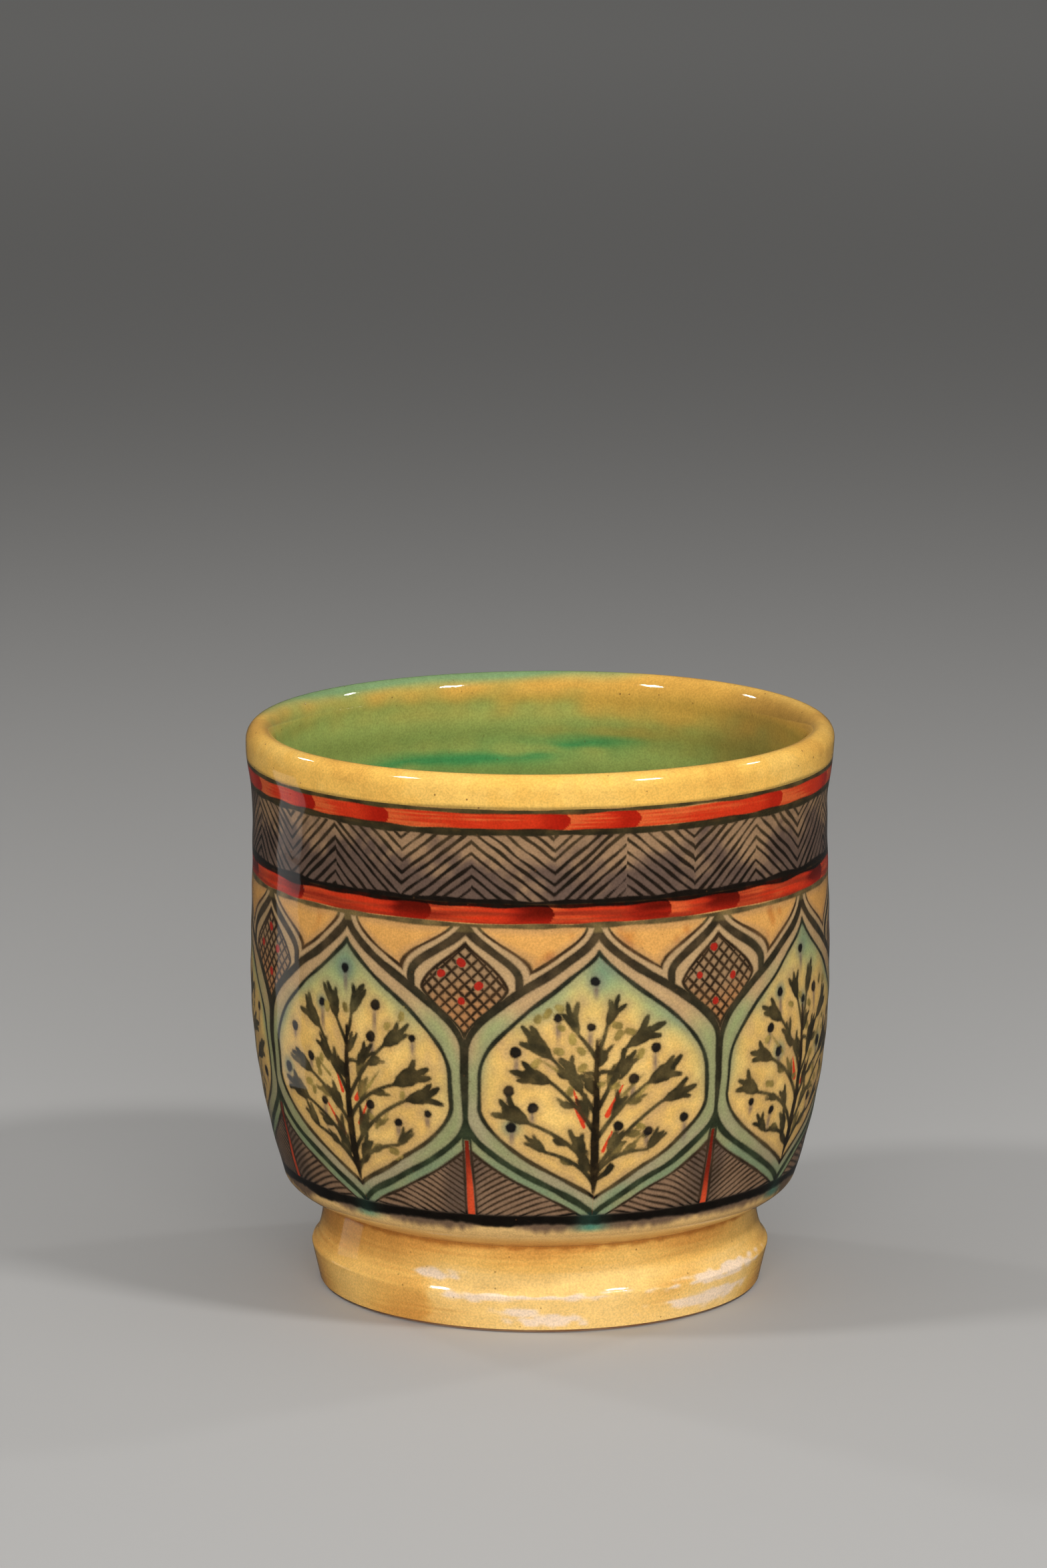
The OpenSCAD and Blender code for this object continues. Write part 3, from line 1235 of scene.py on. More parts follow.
        lower = blend(Pigment.TIP_GREEN, Pigment.CHANNEL_GREEN, smooth(up - 0.06 * blot, 0.05, 0.3))
        lower = blend(lower, hatch, smooth(medallion, 1.4, 1.8))
        outside = np.where((drop > BELOW_DROPS)[:, None], lower, outside)
        ground = np.where((panel < 0.0)[:, None], inside, channel)
        work.wash = np.where((medallion > 0.0)[:, None], outside, ground)
        inner_line = blend(Pigment.INNER_LINE_PALE, Pigment.INNER_LINE, smooth(up, 0.2, 0.4))
        outline = blend(Pigment.OUTLINE_LOW, Pigment.OUTLINE, smooth(up + 0.03 * blot, 0.28, 0.42))
        outline = blend(outline, Pigment.OUTLINE_HIGH, smooth(up + 0.06 * blot, 0.7, 0.95))
        tone = np.where((medallion < -0.9)[:, None], inner_line, outline)
        upper_tone = np.where((onion < 0.4)[:, None], Pigment.CROSS_INK, Pigment.SPANDREL_LINE)
        thin_tone = np.where((drop > BELOW_DROPS)[:, None], Pigment.HATCH_INK, upper_tone)
        off_outline = smooth(medallion, 0.7, 1.1) * smooth(np.abs(drop), 0.7, 1.1)
        work.ink.tone = blend(tone, thin_tone, off_outline)
        glow = smooth(0.5 * blot - 5.0 * (up - 0.14), -1.0, 1.2)
        work.red.tone = blend(Pigment.STEM_DARK, Pigment.STEM_LIGHT, glow)


@dataclass(frozen=True)
class BaseLine:
    """Black line at the foot of the frieze, with a feathered lower edge that has run into the cream.

    Attributes:
        low: Mean height of the feathered edge.
        high: Height of the clean upper edge.
        tips: Angles of the medallions' lower tips, where green has run into the line.
        feather: How far the feathers reach.
        seed: Start of its random draws.
    """

    low: float
    high: float
    tips: Array
    feather: float = 0.16
    seed: int = 81

    def paint(self, work: Brushwork) -> None:
        """Draws the line and its stain on the cream below.

        Args:
            work: Painting of a coat of the wall.
        """
        z = work.z
        upper = self.high + 0.05 * work.wander(self.seed, 30, 60.0, 10)
        coarse = work.wander(self.seed + 1, 24, 60.0, 12)
        fine = work.wander(self.seed + 2, 230, 60.0, 26)
        lower = self.low + 0.08 + self.feather * (coarse + 0.35 * fine)
        below = 1.0 - smooth(z, self.low + 1.0, self.low + 1.4)
        # Tan low on the turn, fading to cream higher up: the glaze's colour, and painted shade under the
        # bowl's turn.
        cream = blend(Pigment.WAIST_TAN_AND_SHADE, Pigment.WAIST_CREAM, smooth(z, self.low - 4.6, self.low - 1.2))
        work.wash = blend(work.wash, cream, below)
        stain = smooth(z + 0.4 * coarse + 0.14 * fine, self.low - 1.3, self.low + 0.2)
        in_line = 1.0 - smooth(z, self.high, self.high + 0.3)
        work.tint(Pigment.BASE_FEATHER, 0.85 * stain * in_line)
        tone = np.tile(Pigment.BASE_BLACK, (len(z), 1))
        random = default_rng(self.seed)
        for tip in self.tips:
            off = wrapped(work.theta - tip - random.uniform(-0.02, 0.02))
            aside = work.radius * off / random.uniform(2.0, 3.0)
            strength = random.uniform(0.45, 0.9) * np.exp(-(aside**2))
            work.tint(Pigment.BASE_TEAL, strength * smooth(z, self.low - 1.6, self.low - 0.4) * in_line)
            tone = blend(tone, Pigment.BASE_TEAL, 0.4 * strength)
        distance = np.maximum(z - upper, lower - z)
        work.wash = blend(work.wash, tone, 0.9 * smooth(-distance, -0.3, 0.3))
        work.ink.draw(distance, tone)


@dataclass
class NodeBoard:
    """Adds nodes to one tree and joins them, so that a formula can be written as one."""

    tree: NodeTree

    def add(self, kind: str, **settings: object) -> Node:
        """Adds a node.

        Args:
            kind: Type of the node.
            settings: Properties to set on it.

        Returns:
            The new node.
        """
        node = self.tree.nodes.new(kind)
        for key, value in settings.items():
            setattr(node, key, value)
        return node

    def feed(self, socket: NodeSocket, value: object) -> None:
        """Links a socket to another one, or sets its value.

        Args:
            socket: Input of a node.
            value: Output to link it to, or a plain value.
        """
        if isinstance(value, NodeSocket):
            self.tree.links.new(value, socket)
        else:
            socket.default_value = value

    def math(self, operation: str, *values: object) -> NodeSocket:
        """Adds a sum, product or other formula of one to three values.

        Args:
            operation: Name of the formula.
            values: Numbers or sockets.

        Returns:
            Socket with the result.
        """
        node = self.add("ShaderNodeMath", operation=operation)
        for socket, value in zip(node.inputs, values):
            self.feed(socket, value)
        return node.outputs[0]

    def least(self, *values: object) -> NodeSocket:
        """Smallest of several values."""
        return reduce(partial(self.math, "MINIMUM"), values)

    def most(self, *values: object) -> NodeSocket:
        """Largest of several values."""
        return reduce(partial(self.math, "MAXIMUM"), values)

    def ramp(
        self, value: object, low: float, high: float, at_low: float, at_high: float
    ) -> NodeSocket:
        """Soft step between two values.

        Args:
            value: Value to look at.
            low: Where the step starts.
            high: Where it ends.
            at_low: Result below it.
            at_high: Result above it.

        Returns:
            Socket with the result.
        """
        node = self.add("ShaderNodeMapRange", interpolation_type="SMOOTHSTEP")
        for socket, given in zip(node.inputs, (value, low, high, at_low, at_high)):
            self.feed(socket, given)
        return node.outputs[0]

    def mix(self, amount: object, first: object, second: object, how: str = "MIX") -> NodeSocket:
        """Mixes two colours.

        Args:
            amount: Amount of the second.
            first: First colour.
            second: Second colour.
            how: Name of the blend.

        Returns:
            Socket with the mixed colour.
        """
        node = self.add("ShaderNodeMix", data_type="RGBA", blend_type=how)
        self.feed(node.inputs[0], amount)
        self.feed(node.inputs[6], first)
        self.feed(node.inputs[7], second)
        return node.outputs[2]

    def noise(self, place: object, scale: float, detail: float = 2.0) -> NodeSocket:
        """Adds a cloud of noise.

        Args:
            place: Coordinates in metres.
            scale: Waves in one metre.
            detail: Number of finer layers.

        Returns:
            Socket with values about 0.5.
        """
        node = self.add("ShaderNodeTexNoise")
        self.feed(node.inputs["Vector"], place)
        node.inputs["Scale"].default_value = scale
        node.inputs["Detail"].default_value = detail
        return node.outputs["Fac"]

    def bump(self, height: NodeSocket, relief: float) -> NodeSocket:
        """Adds relief to a surface.

        Args:
            height: Height at each place.
            relief: Metres that a height of one stands for.

        Returns:
            Socket with the normal.
        """
        node = self.add("ShaderNodeBump")
        node.inputs["Distance"].default_value = relief
        self.feed(node.inputs["Height"], height)
        return node.outputs["Normal"]

    def attribute(self, name: str, output: str = "Fac") -> NodeSocket:
        """Adds a node that reads an attribute of the mesh."""
        return self.add("ShaderNodeAttribute", attribute_name=name).outputs[output]

    def place(self) -> NodeSocket:
        """Adds the piece's own coordinates."""
        return self.add("ShaderNodeTexCoord").outputs["Object"]


def new_group(name: str, inputs: dict[str, str], outputs: dict[str, str]) -> NodeBoard:
    """Makes an empty shader node group.

    Args:
        name: Name of the group.
        inputs: Socket type of each input by its name.
        outputs: Socket type of each output by its name.

    Returns:
        Board to work on the group.
    """
    tree = bpy.data.node_groups.new(name, "ShaderNodeTree")
    for label, kind in inputs.items():
        tree.interface.new_socket(label, in_out="INPUT", socket_type=kind)
    for label, kind in outputs.items():
        tree.interface.new_socket(label, in_out="OUTPUT", socket_type=kind)
    return NodeBoard(tree)


def new_material(name: str) -> tuple[Material, NodeBoard, NodeInputs]:
    """Makes a material.

    Args:
        name: Its name.

    Returns:
        The material, a board to work on it and the inputs of its shader.
    """
    material = bpy.data.materials.new(name)
    material.use_nodes = True
    shader = material.node_tree.nodes["Principled BSDF"]
    return material, NodeBoard(material.node_tree), shader.inputs


FLOAT = "NodeSocketFloat"
COLOR = "NodeSocketColor"
VECTOR = "NodeSocketVector"
GLAZE_GROUP = "brushwork under glaze"
LATTICE_GROUP = "lattice drawing"


@dataclass(frozen=True)
class LatticeDrawing:
    """Pen lines of the frieze, drawn by the material from smooth distances so that they stay crisp.

    Attributes:
        outline: Half width of the medallions' outlines at their sides.
        outline_high: Half width of the outlines near the upper tips.
        inner: Half width of the line inside a medallion.
        onion: Half width of the line inside a drop.
        thin: Half width of the line in the spandrels.
        margin: Distance of that line from the outlines.
        cross: Half width of the crossed lines in a drop.
        cross_gap: Distance between them.
        barb: Half width of the barbs of a spandrel.
        barb_gap: Distance between them.
        stem: Half width of the red stem between the barbs, at its lower end.
        stem_top: Height of the stem's upper end.
        stem_low: Height of its lower end.
        stem_edge: Width of the dark edges round the stem.
        apex: Height of the upper end of those edges.
        widening: Heights between which the outlines widen.
        lap: How far a drop's lines run on into a medallion.
        pressure: Waves of the pen's pressure in one metre.
    """

    outline: float = 0.5
    outline_high: float = 0.66
    inner: float = 0.34
    onion: float = 0.28
    thin: float = 0.26
    margin: float = 1.7
    cross: float = 0.23
    cross_gap: float = 1.36
    barb: float = 0.2
    barb_gap: float = 0.96
    stem: float = 0.52
    stem_top: float = 31.8
    stem_low: float = 20.0
    stem_edge: float = 0.44
    apex: float = 33.6
    widening: tuple[float, float] = (44.0, 54.0)
    lap: float = 0.3
    pressure: float = 190.0

    def build(self) -> None:
        """Makes the node group, which gives the distance to the nearest line and to the red stem."""
        board = new_group(
            LATTICE_GROUP,
            {"Medallion": FLOAT, "Panel": FLOAT, "Drop": FLOAT, "Onion": FLOAT, "Weave": VECTOR},
            {"Line": FLOAT, "Stem": FLOAT},
        )
        given = board.add("NodeGroupInput").outputs
        press = board.ramp(board.noise(board.place(), self.pressure), 0.3, 0.7, 0.06, -0.07)
        medallion, drop, onion = given["Medallion"], given["Drop"], given["Onion"]
        weave = board.add("ShaderNodeSeparateXYZ")
        board.feed(weave.inputs[0], given["Weave"])
        aside, height, rise = weave.outputs

        def line(distance: object, at: float, half: object) -> NodeSocket:
            """Distance to the edge of a line drawn where a distance has some value."""
            off = board.math("ABSOLUTE", board.math("SUBTRACT", distance, at))
            return board.math("SUBTRACT", off, half)

        def crossing(first: str, gap: float) -> NodeSocket:
            """Distance to the nearest of many slanted lines."""
            level = board.math("MULTIPLY", board.math(first, aside, height), math.sqrt(0.5))
            return board.math("PINGPONG", level, gap / 2)

        width = board.ramp(height, *self.widening, self.outline, self.outline_high)
        outline = line(medallion, 0.0, width)
        inner = line(given["Panel"], 0.0, self.inner)
        outside = board.math("SUBTRACT", -self.lap, medallion)
        drop_outline = board.most(line(drop, 0.0, width), outside)
        onion_line = board.most(line(onion, 0.0, self.onion), outside)
        around = line(board.least(medallion, drop), self.margin, self.thin)
        lines = board.least(crossing("ADD", self.cross_gap), crossing("SUBTRACT", self.cross_gap))
        crossed = board.most(board.math("SUBTRACT", lines, self.cross), onion)
        below = board.math("SUBTRACT", BELOW_DROPS, drop)
        barbs = board.most(
            board.math("SUBTRACT", board.math("PINGPONG", rise, self.barb_gap / 2), self.barb),
            board.math("SUBTRACT", self.margin, medallion),
            below,
        )
        across = board.math("ABSOLUTE", aside)
        half = board.ramp(height, self.stem_low, self.stem_top, self.stem, 0.6 * self.stem)
        stem = board.most(
            board.math("SUBTRACT", across, half), board.math("SUBTRACT", height, self.stem_top), below
        )
        edge = board.most(
            board.math("SUBTRACT", across, board.math("ADD", half, self.stem_edge)),
            board.math("SUBTRACT", height, self.apex),
            below,
        )
        dark = board.least(outline, inner, drop_outline, onion_line, around, crossed, barbs, edge)
        dark = board.most(dark, board.math("MULTIPLY", stem, -1.0))
        back = board.add("NodeGroupOutput").inputs
        board.feed(back["Line"], board.math("ADD", dark, press))
        board.feed(back["Stem"], stem)


@dataclass(frozen=True)
class GlazedBrushwork:
    """Effect that turns a painting into the colour, gloss and relief of brushwork under glaze.

    Attributes:
        grain: Waves of the finest noise in one metre.
        cloud: Waves of the pooling glaze.
        wave: Waves of the glaze's surface.
        cells: Cells that may hold a speck.
        rarity: Waves of the noise that leaves cells bare.
        ragged: How far the grain moves a stroke's edge, in millimetres.
        pooled: Linear colour of ink where it has pooled.
        speck: Linear colour of a speck.
    """

    grain: float = 3200.0
    cloud: float = 420.0
    wave: float = 130.0
    cells: float = 620.0
    rarity: float = 310.0
    ragged: float = 0.1
    pooled: tuple[float, ...] = (0.012, 0.010, 0.006, 1.0)
    speck: tuple[float, ...] = (0.14, 0.06, 0.02, 1.0)

    def build(self) -> None:
        """Makes the node group, which gives the colour, the roughness and the height."""
        colors = ("Wash", "Ink Tone", "Red Tone")
        values = ("Ink", "Red", "Edge", "Halo", "Specks")
        board = new_group(
            GLAZE_GROUP,
            {**dict.fromkeys(colors, COLOR), **dict.fromkeys(values, FLOAT)},
            {"Color": COLOR, "Roughness": FLOAT, "Height": FLOAT},
        )
        given = board.add("NodeGroupInput").outputs
        place = board.place()
        grain = board.noise(place, self.grain, 3.0)
        cloud = board.noise(place, self.cloud, 4.0)
        shift = board.math("MULTIPLY", board.math("SUBTRACT", grain, 0.5), self.ragged)
        ink = board.math("ADD", given["Ink"], shift)
        red = board.math("ADD", given["Red"], shift)
        soft = board.math("MULTIPLY", given["Edge"], -1.0)
        ink_mask = board.ramp(ink, soft, given["Edge"], 1.0, 0.0)
        red_mask = board.ramp(red, -0.12, 0.12, 0.985, 0.0)
        halo = board.math("MULTIPLY", board.ramp(ink, 0.0, 1.5, 1.0, 0.0), given["Halo"])
        color = board.mix(halo, given["Wash"], Pigment.SHADE.opaque())
        color = board.mix(red_mask, color, given["Red Tone"])
        pooled = board.ramp(cloud, 0.4, 0.75, 0.0, 0.45)
        wet = board.mix(pooled, given["Ink Tone"], self.pooled)
        cover = board.math("MULTIPLY", ink_mask, board.ramp(cloud, 0.25, 0.6, 0.92, 0.99))
        color = board.mix(cover, color, wet)
        mottle = board.ramp(cloud, 0.3, 0.7, 0.95, 1.04)
        fine = board.ramp(grain, 0.25, 0.75, 0.84, 1.1)
        level = board.math("MULTIPLY", mottle, fine)
        gray = board.add("ShaderNodeCombineColor")
        for socket in gray.inputs[:3]:
            board.feed(socket, level)
        color = board.mix(1.0, color, gray.outputs[0], "MULTIPLY")
        cells = board.add("ShaderNodeTexVoronoi", feature="F1")
        board.feed(cells.inputs["Vector"], place)
        cells.inputs["Scale"].default_value = self.cells
        dot = board.ramp(cells.outputs["Distance"], 0.05, 0.13, 1.0, 0.0)
        rare = board.ramp(board.noise(place, self.rarity, 1.0), 0.5, 0.56, 0.0, 1.0)
        flaw = board.math("MULTIPLY", dot, rare)
        speck = board.math("MULTIPLY", flaw, given["Specks"])
        color = board.mix(speck, color, self.speck)
        back = board.add("NodeGroupOutput").inputs
        board.feed(back["Color"], color)
        board.feed(back["Roughness"], board.ramp(cloud, 0.25, 0.8, 0.03, 0.08))
        wave = board.math("MULTIPLY_ADD", grain, 0.04, board.noise(place, self.wave, 1.0))
        board.feed(back["Height"], board.math("MULTIPLY_ADD", flaw, -0.35, wave))


class Drawing(Enum):
    """Whether a material draws the frieze's lattice over the strokes."""

    STROKES_ONLY = "strokes only"
    WITH_LATTICE = "with lattice"


@dataclass(frozen=True)
class PaintedGlaze:
    """Glossy clear glaze over brushwork.

    Attributes:
        name: Name of the material.
        drawing: Whether the lattice is drawn.
        edge: How far a stroke's edge is blurred by the glaze, in millimetres.
        halo: How far ink greys the ground round it.
        specks: How strong the brown specks are.
        relief: Height of the glaze's unevenness in metres.
        ior: Refractive index of the glaze.
        shine: How strong its reflections are.
    """

    name: str
    drawing: Drawing = Drawing.STROKES_ONLY
    edge: float = 0.14
    halo: float = 0.0
    specks: float = 0.25
    relief: float = 0.00006
    ior: float = 1.5
    shine: float = 0.4

    def build(self) -> Material:
        """Makes the material.

        Returns:
            The new material.
        """
        material, board, shader = new_material(self.name)
        group = board.add("ShaderNodeGroup", node_tree=bpy.data.node_groups[GLAZE_GROUP])
        for label, name in (("Wash", "wash"), ("Ink Tone", "ink_tone"), ("Red Tone", "red_tone")):
            board.feed(group.inputs[label], board.attribute(name, "Color"))
        ink = board.attribute("ink")
        red = board.attribute("red")
        if self.drawing is Drawing.WITH_LATTICE:
            lines = board.add("ShaderNodeGroup", node_tree=bpy.data.node_groups[LATTICE_GROUP])
            for label in ("Medallion", "Panel", "Drop", "Onion"):
                board.feed(lines.inputs[label], board.attribute(label.lower()))
            board.feed(lines.inputs["Weave"], board.attribute("weave", "Vector"))
            ink = board.least(ink, board.most(lines.outputs["Line"], board.math("MULTIPLY", red, -1.0)))
            red = board.least(red, lines.outputs["Stem"])
        given = {"Ink": ink, "Red": red, "Edge": self.edge, "Halo": self.halo, "Specks": self.specks}
        for label, value in given.items():
            board.feed(group.inputs[label], value)
        board.feed(shader["Base Color"], group.outputs["Color"])
        board.feed(shader["Roughness"], group.outputs["Roughness"])
        board.feed(shader["Normal"], board.bump(group.outputs["Height"], self.relief))
        shader["IOR"].default_value = self.ior
        shader["Specular IOR Level"].default_value = self.shine
        return material


@dataclass(frozen=True)
class BareClay:
    """Fired earthenware without glaze, with turning marks and grog.

    Attributes:
        cloud: Waves of its uneven colour in one metre.
        grog: Waves of the grog.
        marks: Radians of turning marks in one metre.
        relief: Height of the marks in metres.
    """

    cloud: float = 160.0
    grog: float = 1500.0
    marks: float = 5200.0
    relief: float = 0.0001

    def build(self) -> Material:
        """Makes the material.

        Returns:
            The new material.
        """
        material, board, shader = new_material("bare clay")
        place = board.place()
        split = board.add("ShaderNodeSeparateXYZ")
        board.feed(split.inputs[0], place)
        squares = [board.math("MULTIPLY", side, side) for side in split.outputs[:2]]
        span = board.math("SQRT", board.math("ADD", *squares))
        cloud = board.noise(place, self.cloud, 5.0)
        grog = board.noise(place, self.grog)
        wobble = board.math("MULTIPLY", cloud, 3.0)
        turning = board.math("SINE", board.math("MULTIPLY_ADD", span, self.marks, wobble))
        tone = board.math("ADD", board.math("MULTIPLY", cloud, 0.8), board.math("MULTIPLY", grog, 0.25))
        paler = board.ramp(tone, 0.3, 0.75, 0.0, 1.0)
        color = board.mix(paler, Pigment.CLAY_DARK.opaque(), Pigment.CLAY_PALE.opaque())
        board.feed(shader["Base Color"], color)
        board.feed(shader["Roughness"], board.ramp(grog, 0.2, 0.8, 0.7, 0.92))
        height = board.math("MULTIPLY_ADD", turning, 0.35, grog)
        board.feed(shader["Normal"], board.bump(height, self.relief))
        return material


@dataclass
class Coat:
    """Ring of glaze, spun from an outline with a glazed face and a hidden side.

    Attributes:
        node: CAD node that it stands for.
        slot: Material slot of the record; not used.
        face: Glazed face as rows of radius and height in millimetres.
        back: Hidden side in the same order.
        columns: Number of steps in one turn, a multiple of eight.
        strips: Number of strips that its painting is laid out in.
    """

    node: str
    slot: str
    face: Array
    back: Array
    columns: int
    strips: int = 2
    work: Brushwork | None = None
    piece: Object | None = None
    along: Array | None = None

    def outline(self) -> Array:
        """Points of the outline in metres, back along the hidden side and then along the face."""
        return np.vstack((self.back[::-1], self.face)) * MM

    def spin(self) -> Object:
        """Draws the outline point by point and spins it round the axis.

        Returns:
            The new object, a true body of revolution.
        """
        ops = bpy.ops.mesh
        points = self.outline()
        open_end = points[0][0] == 0.0
        bpy.ops.object.select_all(action="DESELECT")
        ops.primitive_plane_add(size=MM, location=(points[0][0], 0.0, points[0][1]))
        piece = bpy.context.object
        piece.name = self.node + "_glazed"
        bpy.ops.object.transform_apply(location=True)
        bpy.ops.object.mode_set(mode="EDIT")
        ops.select_all(action="SELECT")
        ops.merge(type="CENTER")
        route = points if open_end else np.vstack((points, points[:1]))
        for step in np.diff(route, axis=0):
            ops.extrude_region_move(TRANSFORM_OT_translate={"value": (step[0], 0.0, step[1])})
        ops.select_all(action="SELECT")
        ops.remove_doubles(threshold=1e-6)
        ops.select_all(action="SELECT")
        share = 8
        ops.spin(
            steps=self.columns // share, angle=FULL_TURN / share, center=(0, 0, 0), axis=(0, 0, 1)
        )
        while share > 1:
            ops.select_all(action="SELECT")
            ops.duplicate()
            bpy.ops.transform.rotate(
                value=FULL_TURN / share, orient_axis="Z", center_override=(0.0, 0.0, 0.0)
            )
            share //= 2
        ops.select_all(action="SELECT")
        ops.remove_doubles(threshold=2e-6)
        ops.select_all(action="SELECT")
        ops.normals_make_consistent(inside=False)
        bpy.ops.object.mode_set(mode="OBJECT")
        return piece

    def build(self) -> Brushwork:
        """Models the ring and opens a painting at its points.

        Returns:
            The painting, still bare.
        """
        self.piece = self.spin()
        mesh = self.piece.data
        places = np.empty(len(mesh.vertices) * 3, np.float32)
        mesh.vertices.foreach_get("co", places)
        places = places.reshape(-1, 3).astype(float) / MM
        radius = np.hypot(places[:, 0], places[:, 1])
        theta = np.arctan2(places[:, 0], -places[:, 1])
        points = self.outline() / MM
        best = np.full(len(radius), np.inf)
        self.along = np.zeros(len(radius))
        for index, (across, height) in enumerate(points):
            gap = (radius - across) ** 2 + (places[:, 2] - height) ** 2
            nearer = gap < best
            best[nearer] = gap[nearer]
            self.along[nearer] = index
        self.work = Brushwork(theta, places[:, 2], radius)
        return self.work

    def lay_out(self) -> None:
        """Unrolls the ring into strips, with the hidden side in a narrow strip of its own."""
        mesh = self.piece.data
        corner = np.empty(len(mesh.loops), np.int32)
        mesh.loops.foreach_get("vertex_index", corner)
        sizes = np.empty(len(mesh.polygons), np.int32)
        mesh.polygons.foreach_get("loop_total", sizes)
        starts = np.concatenate(([0], np.cumsum(sizes)[:-1]))
        theta = self.work.theta[corner]
        radius = self.work.radius[corner]
        east = np.add.reduceat(radius * np.sin(theta), starts)
        north = np.add.reduceat(radius * np.cos(theta), starts)
        middle = np.repeat(np.arctan2(east, north), sizes)
        turned = np.where(radius > 1e-3, middle + wrapped(theta - middle), middle)
        place = (turned + math.pi) / FULL_TURN * self.strips
        strip = np.clip(np.floor((middle + math.pi) / FULL_TURN * self.strips), 0, self.strips - 1)
        rows = self.along[corner] - len(self.back)
        glazed = np.repeat(np.minimum.reduceat(rows, starts) >= 0, sizes)
        lengths = np.concatenate(([0.0], np.cumsum(np.linalg.norm(np.diff(self.face, axis=0), axis=1))))
        part = np.interp(rows, np.arange(len(lengths)), lengths / lengths[-1])
        hidden = np.clip(self.along[corner] / len(self.back), 0.0, 1.0)
        side_room, strip_room = 0.006, 0.02
        face_share, hidden_from, hidden_share = 0.955, 0.965, 0.03
        across = side_room + (1.0 - 2.0 * side_room) * (place - strip)
        upright = face_share * (strip + strip_room + (1.0 - 2.0 * strip_room) * part) / self.strips
        spots = np.column_stack((across, np.where(glazed, upright, hidden_from + hidden_share * hidden)))
        layer = mesh.uv_layers.new(name="OFBake")
        layer.data.foreach_set("uv", spots.astype(np.float32).ravel())

    def finish(self, material: Material, hand: ThrownUnevenness) -> None:
        """Stores the painting, makes the ring uneven, dresses it and puts it in the frame.

        Args:
            material: Its glaze.
            hand: Unevenness of the thrown cup.
        """
        mesh = self.piece.data
        self.work.store(mesh)
        self.lay_out()
        theta = self.work.theta
        radius, z = hand.moved(theta, self.work.radius, self.work.z)
        places = np.column_stack((radius * np.sin(theta), -radius * np.cos(theta), z)) * MM
        mesh.vertices.foreach_set("co", places.astype(np.float32).ravel())
        mesh.update()
        mesh.materials.clear()
        mesh.materials.append(material)
        bpy.ops.object.select_all(action="DESELECT")
        self.piece.select_set(True)
        bpy.context.view_layer.objects.active = self.piece
        bpy.ops.object.shade_smooth_by_angle(angle=SHARP_ANGLE)
        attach(self.piece, "root")
        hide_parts(self.node)
        log.info("%s stands for %s: %d points", self.piece.name, self.node, len(mesh.vertices))


@dataclass
class GlazedPart:
    """Part of the cup's glazing.

    Attributes:
        section: Half section of the cup.
        hand: Unevenness of the thrown cup.
    """

    section: HalfSection
    hand: ThrownUnevenness

    def paint(self, work: Brushwork) -> None:
        """Each part paints its coats in its own way."""
        raise NotImplementedError

    def lay(self, coat: Coat, finish: PaintedGlaze) -> None:
        """Models, paints and dresses a coat."""
        self.paint(coat.build())
        coat.finish(finish.build(), self.hand)


